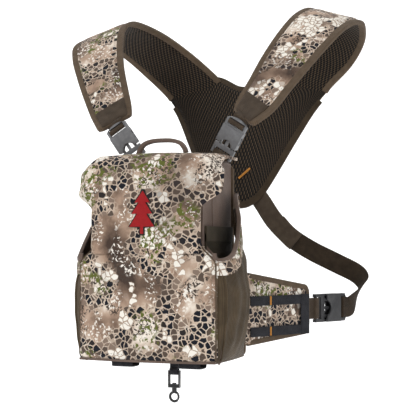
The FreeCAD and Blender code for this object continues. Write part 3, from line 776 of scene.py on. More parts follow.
def flat_profile(width: float, thickness: float, count: int = 20) -> Array:
    """Cross-section of a strap: a superellipse of power six, so flat with round edges.

    Args:
        width: its width.
        thickness: its thickness.
        count: how many points it has.

    Returns:
        The points, (count, 2).
    """
    angle = np.linspace(0, 2 * math.pi, count, endpoint=False)
    x = np.sign(np.cos(angle)) * np.abs(np.cos(angle)) ** (1 / 3) * width / 2
    z = np.sign(np.sin(angle)) * np.abs(np.sin(angle)) ** (1 / 3) * thickness / 2
    return np.stack([x, z], axis=-1)


def sweep(name: str, centres: Array, across: Array, profile: Array, material: Material,
          closed: bool = False, side: Side = Side.RIGHT) -> Piece:
    """Carry a profile along a path.

    Each ring is the centre plus the profile's first value across the strap
    and its second along the face normal, which is tangent times across.

    Args:
        name: the piece's name.
        centres: path, (n, 3) in millimetres.
        across: direction across the strap at each point, (n, 3).
        profile: cross-section, (m, 2).
        material: the finish.
        closed: whether the path joins up with its own start.
        side: the half that it goes to; the path is given for the right one.

    Returns:
        The object.
    """
    centres, across = side.mirror(centres), side.mirror(across)
    if closed:
        tangent = unit(np.roll(centres, -1, axis=0) - np.roll(centres, 1, axis=0))
    else:
        tangent = unit(np.gradient(centres, axis=0))
    flank = unit(across - tangent * np.sum(across * tangent, axis=1, keepdims=True))
    face = np.cross(tangent, flank)
    rings = centres[:, None] + flank[:, None] * profile[None, :, :1] + face[:, None] * profile[None, :, 1:]
    if closed:
        rings = np.concatenate([rings, rings[:1]])
    rows, columns = rings.shape[:2]
    points = rings.reshape(-1, 3)
    faces = quads(rows, columns, wrap=True)
    run = run_of(rings.mean(axis=1))
    flat = np.stack([np.tile(profile[:, 0], rows), np.repeat(run, columns)], axis=-1) * MM
    caps = np.zeros((0, 3), int)
    if not closed:
        hubs = np.stack([rings[0].mean(axis=0), rings[-1].mean(axis=0)])
        first, last = np.full(columns, len(points)), np.full(columns, len(points) + 1)
        ring = np.arange(columns)
        end = ring + (rows - 1) * columns
        caps = np.concatenate([np.stack([first, np.roll(ring, -1), ring], axis=-1),
                               np.stack([last, end, np.roll(end, -1)], axis=-1)])
        points = np.concatenate([points, hubs])
        flat = np.concatenate([flat, [[0, 0], [0, run[-1] * MM]]])
    return facing_out(put_sweep(name, points, faces, caps, flat, material))


def put_sweep(name: str, points: Array, faces: Array, caps: Array, flat: Array, material: Material) -> Piece:
    """Make a swept piece from its quads and its end fans of triangles.

    Args:
        name: the piece's name.
        points: vertex places in millimetres.
        faces: quads of the tube.
        caps: triangles of the two ends.
        flat: UV of each vertex in metres.
        material: the finish.

    Returns:
        The object.
    """
    mesh = bpy.data.meshes.new(name)
    mesh.from_pydata((points * MM).tolist(), [], faces.tolist() + caps.tolist())
    layer = mesh.uv_layers.new(name="cloth")
    numbers = np.zeros(len(mesh.loops), np.int32)
    mesh.loops.foreach_get("vertex_index", numbers)
    layer.data.foreach_set("uv", flat[numbers].astype(np.float32).ravel())
    mesh.materials.append(material)
    return link(name, mesh)


STITCH_PITCH = 3.2
STITCH_LENGTH = 2.0
STITCH_THICK = 0.55
STITCH_CORNERS = (
    (-1, 0, -0.6), (-0.55, 0.8, 0.2), (-0.55, 0, 1), (-0.55, -0.8, 0.2), (0.55, 0.8, 0.2), (0.55, 0, 1),
    (0.55, -0.8, 0.2), (1, 0, -0.6))
STITCH_FACES = (
    (0, 1, 2), (0, 2, 3), (0, 3, 1), (1, 4, 5), (1, 5, 2), (2, 5, 6), (2, 6, 3), (3, 6, 4), (3, 4, 1),
    (7, 5, 4), (7, 6, 5), (7, 4, 6))


def stitches(name: str, line: Array, normal: Array, material: Material, side: Side = Side.RIGHT) -> Piece:
    """Row of short thread stitches along a line.

    Every stitch is the same short bar with a three-sided section and pointed
    ends, set at even distances along the line with its long way on the tangent.

    Args:
        name: the piece's name.
        line: points of the seam in millimetres.
        normal: surface normal at each point.
        material: the thread's finish.
        side: the half that it goes to; the seam is given for the right one.

    Returns:
        The object.
    """
    line, normal = side.mirror(line), side.mirror(normal)
    run = run_of(line)
    count = max(int(run[-1] / STITCH_PITCH), 2)
    at = (np.arange(count) + 0.5) * run[-1] / count
    place, up, tangent = (
        np.stack([np.interp(at, run, values[:, k]) for k in range(3)], axis=-1)
        for values in (line, normal, np.gradient(line, axis=0)))
    up, tangent = unit(up), unit(tangent)
    local = np.array(STITCH_CORNERS) * np.array([STITCH_LENGTH, STITCH_THICK, STITCH_THICK]) / 2
    ways = np.stack([tangent, np.cross(tangent, up), up], axis=1)
    points = place[:, None] + local @ ways
    firsts = np.arange(count) * len(STITCH_CORNERS)
    faces = (np.array(STITCH_FACES)[None] + firsts[:, None, None]).reshape(-1, 3)
    mesh = bpy.data.meshes.new(name)
    mesh.from_pydata((points.reshape(-1, 3) * MM).tolist(), [], faces.tolist())
    mesh.materials.append(material)
    return link(name, mesh, None)


def rounded_copy(node: str, material: Material, radius: float) -> Piece:
    """Copy a moulded CAD node with rounded edges.

    Args:
        node: the CAD node.
        material: the finish.
        radius: the edges' radius in millimetres.

    Returns:
        The copy, with a live bevel.
    """
    made = bpy.data.objects.new(node + "_moulding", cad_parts[node].data.copy())
    bpy.context.scene.collection.objects.link(made)
    work = bmesh.new()
    work.from_mesh(made.data)
    bmesh.ops.remove_doubles(work, verts=work.verts, dist=MERGE_M)
    bmesh.ops.dissolve_limit(work, angle_limit=math.radians(2), verts=work.verts, edges=work.edges)
    work.to_mesh(made.data)
    work.free()
    made.data.materials.clear()
    made.data.materials.append(material)
    made.data.polygons.foreach_set("use_smooth", np.ones(len(made.data.polygons), bool))
    bevel = made.modifiers.new("edges", "BEVEL")
    bevel.width = radius * MM
    bevel.segments = 2
    bevel.limit_method = "ANGLE"
    bevel.angle_limit = math.radians(35)
    bevel.harden_normals = True
    return made


def fit(made: Piece, body: str, slot: str, *nodes: str) -> Piece:
    """Ride a piece on a body, and let it stand for CAD nodes.

    Args:
        made: the piece.
        body: the body that it rides on.
        slot: not used.
        nodes: the CAD nodes that it stands for, if any.

    Returns:
        The piece.
    """
    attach(made, body)
    if nodes:
        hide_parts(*nodes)
    LOG.info("%s rides on %s", made.name, body)
    return made


def span(made: Piece, slot: str, ends: tuple[str, str], points: Sequence[Array], *nodes: str) -> None:
    """Hide the CAD nodes that a piece joining two bodies stands for, and bake its place into its mesh.

    Args:
        made: the piece.
        slot: not used.
        ends: the two bodies.
        points: not used.
        nodes: the CAD nodes that it stands for, if any.
    """
    if nodes:
        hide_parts(*nodes)
    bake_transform(made)
    LOG.info("%s joins %s and %s", made.name, *ends)


WEBBING_THICK = 1.5
WEBBING_GAP = 1.15
TAIL_APART = 0.85


def wrap_path(bar_half_y: float, bar_half_z: float, tail: float, double: bool) -> Array:
    """Path of webbing round a bar, in the buckle's own Y and Z.

    Args:
        bar_half_y: half depth of the bar.
        bar_half_z: half height of the bar.
        tail: length of the free run, down from the bar if double, up if not.
        double: whether both runs go on together as a two-layer tail.

    Returns:
        Points (n, 2) from one end to the other.
    """
    y, z = bar_half_y + WEBBING_GAP, bar_half_z + WEBBING_GAP
    apart = TAIL_APART
    if double:
        right = [(apart, -tail), (apart, -z - y), (y, -z), (y, z * 0.4), (y * 0.5, z)]
        corner = right + [(-a, b) for a, b in right[::-1]]
    else:
        corner = [
            (y, tail), (y, z), (y, -z * 0.4), (y * 0.5, -z), (-y * 0.5, -z), (-y, -z * 0.4), (-y, z * 0.6),
            (-y * 0.4, z), (y * 0.35, z + 0.2)]
    return smooth_line(corner, 60)


@dataclass
class BuckleFrame:
    """Place of a buckle: the lower bar's centre and the two ways it faces, for the right side."""

    origin: tuple[float, float, float]
    across: tuple[float, float, float]
    along: tuple[float, float, float]
    scale: float

    def axes(self) -> tuple[Array, Array, Array]:
        """Directions of the buckle, with across made square to along.

        Returns:
            Unit vectors across, through and along it.
        """
        along = unit(np.array(self.along, float))
        across = np.array(self.across, float)
        across = unit(across - along * across.dot(along))
        return across, np.cross(along, across), along

    def place(self, path: Array) -> Array:
        """Points of a path that is given through and along the buckle."""
        _, through, along = self.axes()
        return np.array(self.origin) + path[:, :1] * through + path[:, 1:] * along

    def webbing(self, name: str, path: Array, width: float, side: Side, material: Material) -> Piece:
        """Sweep webbing along a path given in the buckle's own Y and Z.

        Args:
            name: the piece's name.
            path: points (n, 2) through and along the buckle.
            width: the webbing's width.
            side: which half of the harness.
            material: the finish.

        Returns:
            The object.
        """
        wide = same(self.axes()[0], len(path))
        return sweep(name, self.place(path), wide, flat_profile(width, WEBBING_THICK), material, side=side)

    def dress(self, prefix: str, body: str, material: Material, slot_name: str) -> None:
        """Put rounded mouldings over the buckle's four CAD nodes.

        Args:
            prefix: the start of the nodes' names.
            body: the body of the two halves; a prong is its own body.
            material: the finish.
            slot_name: the material slot.
        """
        for part, owner in (("male", body), ("female", body), ("outer_prong", ""), ("inner_prong", "")):
            node = f"{prefix}_{part}"
            fit(rounded_copy(node, material, 0.5 * self.scale), owner or node, slot_name, node)


# Distance from a waist buckle's near bar to its far bar.
BUCKLE_REACH = 49.75
SHOULDER = BuckleFrame((53.0, -10.0, 116.0), (41.0, 0.0, -26.0), (26.0, -8.0, 41.0), 1.0)


@dataclass
class Pack:
    """The binocular compartment, its outer shell and its pockets."""

    finishes: Finishes
    half_width: float = 80.0
    corner_x: float = 79.0
    chest_x: float = 71.5
    waist_half: float = 62.0
    waist_z: float = 12.0
    low_z: float = -112.0
    high_z: float = 106.0
    front_y: float = -97.0
    side_depth: float = 90.5
    band_width: float = 14.0
    wall_x: float = 63.6
    wall_half: float = 60.7
    wall_low: float = -108.0
    pocket_front: float = -92.5
    pocket_depth: float = 83.2
    chest_y: float = -3.4
    front_half: tuple = (
        (80.6, -90.0), (80.4, -95.0), (78.5, -99.5), (74.0, -102.2), (62.0, -104.6), (42.0, -107.6),
        (20.0, -109.6), (0.0, -110.0))
    scoop: tuple = (
        (-104.0, 4.0), (-96.0, -3.0), (-78.0, 2.0), (-62.0, 19.0), (-48.0, 38.0), (-34.0, 54.0),
        (-22.0, 64.0), (-9.0, 70.0))
    side_bows: tuple = (
        (-112.0, 2.0), (-106.0, 6.5), (-90.0, 13.5), (-62.0, 19.5), (-40.0, 20.5), (0.0, 14.0), (60.0, 6.0))
    loop_path: tuple = (
        (-80.0, -112.4), (-76.0, -112.6), (-74.6, -114.5), (-74.4, -118.5), (-72.5, -119.9), (-65.0, -120.1),
        (-57.5, -119.9), (-55.6, -118.5), (-55.4, -114.5), (-54.0, -112.6), (-50.0, -112.4))

    def front(self) -> None:
        """Front panel: a bowed plan curve with turned corners, narrowed to the waist and puffed.

        The plan curve is a smooth line through the corner and bow points. Each
        row scales it in X; the foot rolls back by a quarter ellipse.
        """
        f = self.finishes
        half = list(self.front_half)
        plan = smooth_line(half + [(-x, y) for x, y in half[-2::-1]], 121)
        rows = np.linspace(0, 1, 90)
        z = self.low_z + rows * (self.waist_z + 3.0 - self.low_z)
        waist_share = (self.waist_half + 1) / self.half_width
        narrow = 1 - (1 - waist_share) * smoothstep(z, -8.0, self.waist_z + 2)
        foot = np.clip((self.low_z + 9.0 - z) / 9.0, 0, 1)
        inward = 7.0 * (1 - np.sqrt(np.clip(1 - foot**2, 0, 1)))
        x = plan[None, :, 0] * (narrow * (1 - inward * 0.008))[:, None]
        y = plan[None, :, 1] + inward[:, None] + (1 - narrow[:, None]) * 4.0
        zz = np.repeat(z[:, None], plan.shape[0], axis=1)
        y = y - 1.1 * ripple(x, zz, 62.0, 3) - 1.2 * np.sin(np.pi * rows)[:, None] * (1 - (x / 82) ** 2)
        outer = join(x, y, zz)
        normal = normals_of(outer)
        normal *= np.sign(TINY - normal[..., 1:2])
        piece = slab("front_panel", outer, outer - normal * 2.6, [f.camo, f.taupe])
        fit(piece, "pack", "camo_cloth", "front_shell")
        for name, column, beside in (("right_front_seam", 6, 9), ("left_front_seam", -7, -10)):
            out = normal[2:-3, column]
            made = sweep(name, outer[2:-3, column] + out * 0.3, out, flat_profile(1.6, 1.5, 10), f.binding)
            fit(made, "pack", "camo_cloth")
            stitch = outer[2:-3, beside] + out * 0.15
            fit(stitches(name + "_stitches", stitch, out, f.stitch), "pack", "camo_cloth")
        out = normal[6, 6:-6]
        fit(stitches("foot_stitches", outer[6, 6:-6] + out * 0.15, out, f.stitch), "pack", "camo_cloth")

    def side_surface(self, share: Array, z: Array) -> Array:
        """Outer side of the right half.

        X is the corner plus the bow at that height times a lopsided half sine,
        fullest nearer the front, and it turns in to the chest panel at the top.

        Args:
            share: share of the depth, 0 at the front and 1 at the rear.
            z: height.

        Returns:
            Points of the surface.
        """
        bows = np.array(self.side_bows)
        bow = np.interp(z, bows[:, 0], bows[:, 1])
        full = np.sin(np.pi * np.clip(share, 0, 1) ** 0.80) ** 0.85
        y = self.front_y + share * self.side_depth
        inward = smoothstep(y, -48.0, -8.0) * smoothstep(z, -4.0, 30.0)
        return join((self.corner_x + bow * full) * (1 - inward) + self.chest_x * inward, y, z)

    def scoop_curve(self, drop: float, count: int) -> Array:
        """Scoop line lowered square to itself.

        Args:
            drop: how far it is lowered.
            count: how many points it has.

        Returns:
            Depth and height of its points, (count, 2).
        """
        line = smooth_line(self.scoop, count)
        tangent = unit(np.gradient(line, axis=0))
        below = np.stack([tangent[:, 1], -tangent[:, 0]], axis=-1)
        return line + below * drop

    def gusset(self, side: Side) -> None:
        """Stretch gusset from the base up to the band: pleats are a sine over the depth, bent with height.

        Args:
            side: which half of the pack.
        """
        f = self.finishes
        low_edge = self.scoop_curve(self.band_width, 90)
        order = np.argsort(low_edge[:, 0])
        share = np.linspace(0, 1, 110)
        top = np.interp(self.front_y + share * self.side_depth, low_edge[order, 0], low_edge[order, 1])
        v = np.linspace(0, 1, 80)[:, None]
        z = self.low_z + 1 + v * (top - self.low_z - 1)[None]
        s = np.repeat(share[None], 80, axis=0)
        base = self.side_surface(s, z)
        pleat = 1.3 * np.sin(s * 2 * np.pi * 5.5 + 0.5 * np.sin(z / 22)) * smoothstep(v, 0.0, 0.25)
        pleat = pleat + 1.2 * ripple(base[..., 1], z, 34.0, 7)
        gather = -1.6 * smoothstep(v, 0.86, 1.0)
        base[..., 0] += pleat * np.sin(np.pi * v) ** 0.5 * np.sin(np.pi * s) ** 0.4 + gather
        name = side.node("gusset")
        piece = slab(name, base, base - np.array([1.7, 0, 0]), [f.stretch], side)
        fit(piece, "pack", "olive_stretch", side.node("side_gusset"))
        seam = base[2:-2, 8] + np.array([0.9, -0.4, 0])
        out = same((1.0, -0.4, 0), len(seam))
        cord = sweep(name + "_cord", seam, out, flat_profile(2.0, 2.0, 10), f.stretch, side=side)
        fit(cord, "pack", "olive_stretch")

    def band(self, side: Side) -> None:
        """Camouflage band under the scoop, with a rolled lining on its upper edge.

        Args:
            side: which half of the pack.
        """
        f = self.finishes
        drops = np.linspace(0.0, self.band_width + 2.0, 16)
        rows = []
        for drop in drops:
            line = self.scoop_curve(drop, 80)
            share = np.clip((line[:, 0] - self.front_y) / self.side_depth, -0.05, 1)
            surface = self.side_surface(np.clip(share, 0, 1), line[:, 1])
            surface[:, 1] = np.maximum(line[:, 0], -99.0 + 0.05 * (line[:, 0] + 99.0))
            surface[:, 0] += 1.1 - np.clip(-share, 0, 1) * 20 + 0.8 * math.sin(math.pi * drop / drops[-1])
            rows.append(surface)
        outer = np.array(rows)
        name = side.node("scoop_band")
        piece = slab(name, outer, outer - np.array([2.4, 0, 0]), [f.camo, f.taupe], side)
        fit(piece, "pack", "camo_cloth", side.node("side_band"))
        edge = outer[0] - np.array([1.2, 0, -0.6])
        out = same((1.0, 0, 0), len(edge))
        lining = sweep(name + "_lining", edge, out, flat_profile(4.4, 3.2), f.taupe, side=side)
        fit(lining, "pack", "taupe_cloth")
        line = outer[5] + np.array([0.15, 0, 0])
        fit(stitches(name + "_stitches", line, out, f.stitch, side), "pack", "camo_cloth")

    def wall(self, side: Side) -> None:
        """Smooth side wall of the compartment, pillowed by two sines, with a bound upper edge.

        Args:
            side: which half of the pack.
        """
        f = self.finishes
        y = np.linspace(self.front_y, -6.3, 70)
        top = np.interp(y, [self.front_y, -95.0, -81.0, -6.3], [14.0, 86.0, 104.0, 104.5])
        v = np.linspace(0, 1, 90)[:, None]
        z = -108.5 + v * (top + 108.5)
        yy = np.repeat(y[None], 90, axis=0)
        pillow = np.sin(np.pi * np.clip((yy - self.front_y) / 90.7, 0, 1)) * np.sin(np.pi * v) ** 0.7
        x = self.wall_x + 1.2 * pillow + 0.7 * ripple(yy, z, 48.0, 11) * pillow
        outer = join(x, yy, z)
        piece = slab(side.node("wall_cloth"), outer, outer - np.array([2.6, 0, 0]), [f.taupe], side)
        fit(piece, "pack", "taupe_cloth", side.node("side_wall"))
        rim = outer[-1, 2:-2] + np.array([-1.3, 0, -0.4])
        out = same((1.0, 0, 0), len(rim))
        made = sweep(side.node("wall_rim"), rim, out, flat_profile(4.0, 3.2), f.taupe, side=side)
        fit(made, "pack", "taupe_cloth")
        seam = outer[12:-4, 22] + np.array([0.3, 0, 0])
        across = same((0.0, 1.0, 0), len(seam))
        fold = sweep(side.node("wall_seam"), seam, across, flat_profile(5.0, 1.0, 12), f.taupe, side=side)
        fit(fold, "pack", "taupe_cloth")

    def pocket(self, side: Side) -> None:
        """Dark stretch pocket on the wall, with a hemmed top; its cloth is the olive stretch darkened by
        painted shade, the shadow in the scoop.

        Args:
            side: which half of the pack.
        """
        f = self.finishes
        y = np.linspace(self.pocket_front, self.pocket_front + self.pocket_depth, 60)
        v = np.linspace(0, 1, 70)[:, None]
        z = -106.0 + v * 139.5
        yy = np.repeat(y[None], 70, axis=0)
        depth_share = (yy - self.pocket_front) / self.pocket_depth
        full = np.abs(np.sin(np.pi * depth_share)) ** 0.6 * np.sin(np.pi * np.clip(v, 0.02, 0.97)) ** 0.5
        outer = join(66.0 + 3.2 * full + 0.5 * ripple(yy, z, 26.0, 5) * full, yy, z)
        made = []
        # The pocket's cloth is the olive stretch darkened by painted shade, the shadow that falls in the
        # scoop.
        pieces = (("stretch_pocket", slice(0, 66), 0.0, f.pocket), ("pocket_hem", slice(61, 70), 0.7, f.hem))
        for name, rows, lift, material in pieces:
            skin = outer[rows] + np.array([lift, 0, 0])
            piece = slab(side.node(name), skin, skin - np.array([1.5 + lift, 0, 0]), [material], side)
            fit(piece, "pack", "olive_stretch", *([side.node("inner_pocket")] if not made else []))
            made.append(piece)

    def base(self) -> None:
        """Bottom sheet, sagging by a parabola across times a half sine in depth."""
        f = self.finishes
        u = np.linspace(-1, 1, 70)
        v = np.linspace(0, 1, 50)[:, None]
        front = -101.0 - 8.0 * (1 - u**2)
        x = u * (self.corner_x - 7.0 * smoothstep(v, 0.8, 1.0))
        sag = 2.0 * (1 - u**2) * np.sin(np.pi * v)
        lower = join(x, front + v * (-6.5 - front), self.low_z - 0.4 + 0.8 * (1 - sag / 2))
        piece = slab("base_cloth", lower, lower + np.array([0, 0, 2.4]), [f.camo, f.taupe])
        fit(piece, "pack", "camo_cloth", "bottom_panel")

    def inside(self) -> None:
        """Inner front wall and rear shelf, each with a bound edge."""
        f = self.finishes
        half, low = self.wall_half, self.wall_low
        x = np.linspace(-half, half, 60)
        z = np.linspace(low, 46.0, 60)[:, None]
        wave = 1.2 * np.sin(np.pi * (x + half) / (2 * half)) * np.sin(np.pi * (z - low) / (46.0 - low))
        skin = join(x, self.front_y - wave, z)
        piece = slab("inner_front_cloth", skin, skin + np.array([0, 2.4, 0]), [f.taupe])
        fit(piece, "pack", "taupe_cloth", "inner_front_wall")
        rim = skin[-1] + np.array([0, 1.2, 0])
        made = sweep("inner_front_rim", rim, same((0, 0, 1.0), len(rim)), flat_profile(6.0, 3.4), f.binding)
        fit(made, "pack", "taupe_cloth")
        shelf = join(x, np.linspace(-38.0, -6.5, 20)[:, None], 107.9)
        piece = slab("shelf_cloth", shelf, shelf - np.array([0, 0, 2.8]), [f.taupe])
        fit(piece, "pack", "taupe_cloth", "rear_shelf")
        rim = shelf[0] + np.array([0, 0, -1.4])
        made = sweep("shelf_rim", rim, same((0, 1.0, 0), len(rim)), flat_profile(5.0, 3.6), f.binding)
        fit(made, "pack", "taupe_cloth")

    def chest(self) -> None:
        """Mesh-faced panel against the wearer, quilted into soft lobes with a bound edge.

        The crown is a quarter circle over the outer 8 mm, and the quilting
        grooves are bell curves at a set distance from the middle.
        """
        f = self.finishes
        z = np.linspace(self.low_z, self.high_z, 110)
        half = 64.0 + 14.0 * (1 - smoothstep(z, -9.0, 7.0))
        shoulders = smoothstep(z, 96, self.high_z) ** 2 + (1 - smoothstep(z, self.low_z, -104)) ** 2
        half = half - 7.0 * shoulders
        u = np.linspace(-1, 1, 90)
        x = half[:, None] * u[None]
        zz = np.repeat(z[:, None], 90, axis=1)
        end = np.minimum(zz - self.low_z, self.high_z - zz)
        edge = np.clip(np.minimum((1 - np.abs(u))[None] * half[:, None], end) / 8.0, 0, 1)
        crown = 2.6 * np.sqrt(1 - (1 - edge) ** 2)
        groove = 1.3 * np.exp(-(((np.abs(x) - 24.0) / 2.2) ** 2)) * edge
        rear = join(x, self.chest_y + crown - groove, zz)
        piece = slab("chest_pad", rear, join(x, self.chest_y - crown * 0.9, zz), [f.mesh, f.taupe])
        fit(piece, "pack", "mesh_cloth", "chest_panel")
        left = join(x[:, 0] + 1.5, self.chest_y, z)
        right = left[::-1] * np.array([-1, 1, 1])
        top = join(x[-1, 2:-2], self.chest_y, self.high_z - 1.5)
        foot = join(x[0, -3:1:-1], self.chest_y, self.low_z + 1.5)
        loop = np.concatenate([left[1:-1], top, right[1:-1], foot])
        outward = unit(join(loop[:, 0], 0, (loop[:, 2] + 3.0) * 0.6))
        made = sweep("chest_binding", loop, outward, flat_profile(6.6, 4.4), f.binding, closed=True)
        fit(made, "pack", "mesh_cloth")

    def loops(self, side: Side) -> None:
        """Webbing loop under the pack.

        Args:
            side: which half of the pack.
        """
        line = smooth_line(self.loop_path, 70)
        centres = join(40.0, line[:, 0], line[:, 1])
        profile = flat_profile(25.0, WEBBING_THICK)
        across = same((1.0, 0, 0), len(line))
        made = sweep(side.node("base_loop"), centres, across, profile, self.finishes.black, side=side)
        fit(made, "pack", "black_webbing", side.node("bottom_loop"))

    def build(self) -> None:
        """Make every piece of the pack."""
        self.front()
        self.base()
        self.inside()
        self.chest()
        for side in Side:
            self.gusset(side)
            self.band(side)
            self.wall(side)
            self.pocket(side)
            self.loops(side)


@dataclass
class Lid:
    """Bent lid with its wings, mark and pull loop, and the fold it turns on."""

    finishes: Finishes
    profile: tuple = (
        (-110.6, 10.5), (-110.8, 30.0), (-110.2, 50.0), (-108.0, 68.0), (-104.6, 83.0), (-99.5, 96.5),
        (-92.5, 106.5), (-84.0, 111.6), (-72.0, 113.6), (-50.0, 114.6), (-24.0, 114.4))
    loop_arch: tuple = ((-28.5, -0.6), (-26.5, 4.5), (-21.5, 10.0), (-12.0, 13.0), (0.0, 13.6))
    tiers: tuple = (
        (0.0, 0.13), (0.17, 0.13), (0.17, 1.0), (0.47, 0.36), (0.47, 0.82), (0.73, 0.26), (0.73, 0.62),
        (1.0, 0.02))
    bow: float = 4.2
    mark_height: float = 46.0
    mark_half: float = 14.5
    mark_low: float = 25.0

    def half_width(self, y: Array, z: Array) -> Array:
        """Half width of the lid: the waist, flared into wings, then drawn in along the top."""
        flare = 62.5 + 21.0 * smoothstep(z, 52.0, 75.0)
        return flare - 5.8 * smoothstep(z, 97.0, 112.0) - 1.5 * smoothstep(y, -84.0, -24.0)

    def surface(self) -> tuple[Array, Array]:
        """Outer surface of the lid.

        Rows follow the smooth side profile. Across, the sheet falls away from
        its middle: slightly over the whole width, and by a rounded roll near
        the sides, deepest at the wings.

        Returns:
            The surface's points and its unit normals.
        """
        line = smooth_line(self.profile, 130)
        y, z = line[:, 0], line[:, 1]
        u = np.linspace(-1, 1, 121)
        x = self.half_width(y, z)[:, None] * u[None]
        tangent = unit(np.gradient(line, axis=0))
        out = join(0, -tangent[:, 1], tangent[:, 0])[:, None]
        wing = smoothstep(z, 60.0, 80.0) * (1 - smoothstep(y, -90.0, -60.0))
        roll = (3.0 + 10.0 * wing)[:, None] * smoothstep(np.abs(u), 0.80, 1.06)[None] ** 1.4
        bow = (self.bow - 2.8 * smoothstep(z, 80, 108))[:, None] * (u**2)[None]
        puff = 1.1 * ripple(x, np.repeat((y + z)[:, None], 121, axis=1), 70.0, 19) + 0.8 * (1 - u**2)[None]
        started = smoothstep(np.arange(130), 4, 20)[:, None]
        lift = puff * started * (1 - np.abs(u) ** 6)[None] - roll - bow
        outer = join(x, y[:, None], z[:, None]) + out * lift[..., None]
        normal = normals_of(outer)
        normal *= np.sign(np.sum(normal * out, axis=2, keepdims=True))
        return outer, normal

    def cover(self) -> None:
        """Lid sheet with a hemmed edge and its stitches."""
        f = self.finishes
        outer, normal = self.surface()
        piece = slab("lid_cover", outer[3:], outer[3:] - normal[3:] * 2.8, [f.camo, f.taupe])
        fit(piece, "lid", "camo_cloth", "lid_panel")
        line, up = (
            np.concatenate([grid[5:-4, 4], grid[-4, 4:-4], grid[-4:5:-1, -5]]) for grid in (outer, normal))
        fit(stitches("lid_stitches", line + up * 0.15, up, f.stitch), "lid", "camo_cloth")
        rim, up = (np.concatenate([grid[3:, 0], grid[-1, 1:-1], grid[:2:-1, -1]]) for grid in (outer, normal))
        rim = rim - up * 1.4
        across = np.cross(unit(np.gradient(rim, axis=0)), up)
        fit(sweep("lid_edge", rim, across, flat_profile(3.4, 3.3, 14), f.camo), "lid", "camo_cloth")

    def fold(self) -> None:
        """Cloth fold across the waist that the lid turns on, bulging forwards by a parabola in height."""
        z = np.linspace(4.0, 21.0, 24)[:, None]
        u = np.linspace(-1, 1, 100)
        y = -110.6 + 4.6 * (u**2) - 1.5 * (1 - ((z - 12.5) / 8.5) ** 2)
        skin = join(62.2 * u, y, z)
        made = slab("waist_fold", skin, skin + np.array([0, 1.5, 0]), [self.finishes.camo])
        span(made, "camo_cloth", ("pack", "lid"), ((0, -110.0, 7.0), (0, -110.0, 18.0)))

    def mark(self) -> None:
        """Plain embroidered tree on the lid's front: three flared tiers over a trunk.

        The half width is piecewise linear in height, with a jump at each tier,
        and every point is moved onto the lid's front along Y.
        """
        middle = self.surface()[0][:70, 60]
        knots = np.array(self.tiers) * np.array([self.mark_height, self.mark_half])
        levels, halves = [], []
        for (z0, h0), (z1, h1) in zip(knots[:-1], knots[1:]):
            part = np.linspace(0, 1, 2 if z0 == z1 else 12)
            levels.append(z0 + (z1 - z0) * part)
            halves.append(h0 + (h1 - h0) * part)
        level = self.mark_low + np.concatenate(levels)
        number = np.arange(len(level))
        u = np.linspace(-1, 1, 31)
        f = self.finishes
        layers = (("mark_outline", 1.3, 0.55, f.outline), ("mark_tree", 0.0, 1.1, f.red))
        for name, grow, lift, material in layers:
            z = level + np.where(number < 13, -grow, 0) + np.where(number > len(level) - 3, grow * 1.6, 0)
            x = (np.concatenate(halves) + grow)[:, None] * u[None]
            y = np.interp(z, middle[:, 2], middle[:, 1])[:, None] + self.bow * (x / 66) ** 2
            crown = lift * (1 - 0.35 * np.abs(u) ** 4)[None]
            skin, back = join(x, y - crown - 0.5, z[:, None]), join(x, y + 1.0, z[:, None])
            fit(slab(name, skin, back, [material]), "lid", "camo_cloth")

    def loop(self) -> None:
        """Rolled pull loop: a smooth tube whose ends sink into the lid."""
        half = list(self.loop_arch)
        arch = smooth_line(half + [(-x, z) for x, z in half[-2::-1]], 90)
        centres = join(arch[:, 0], -56.0, 116.3 + arch[:, 1])
        across = same((0, 1.0, 0), len(arch))
        tube = sweep("pull_loop", centres, across, flat_profile(6.6, 4.6, 24), self.finishes.taupe)
        fit(tube, "lid_loop", "taupe_cloth", "lid_loop")

    def build(self) -> None:
        """Make every piece of the lid."""
        self.cover()
        self.fold()
        self.mark()
        self.loop()


def put_bartack(name: str, spot: Array, along: Array, normal: Array, length: float, body: str,
                thread: Material, side: Side = Side.RIGHT) -> None:
    """Make a short dense bar of thread.

    Args:
        name: the piece's name.
        spot: its centre in millimetres.
        along: its long direction.
        normal: the surface normal under it.
        length: its length.
        body: the body that it rides on.
        thread: the finish.
        side: the half that it goes to; its place is given for the right one.
    """
    run = np.linspace(-length / 2, length / 2, 40)[:, None]
    centres = spot + run * unit(along)
    across = same(np.cross(unit(along), unit(normal)), 40)
    fit(sweep(name, centres, across, flat_profile(2.6, 1.6, 12), thread, side=side), body, "black_webbing")


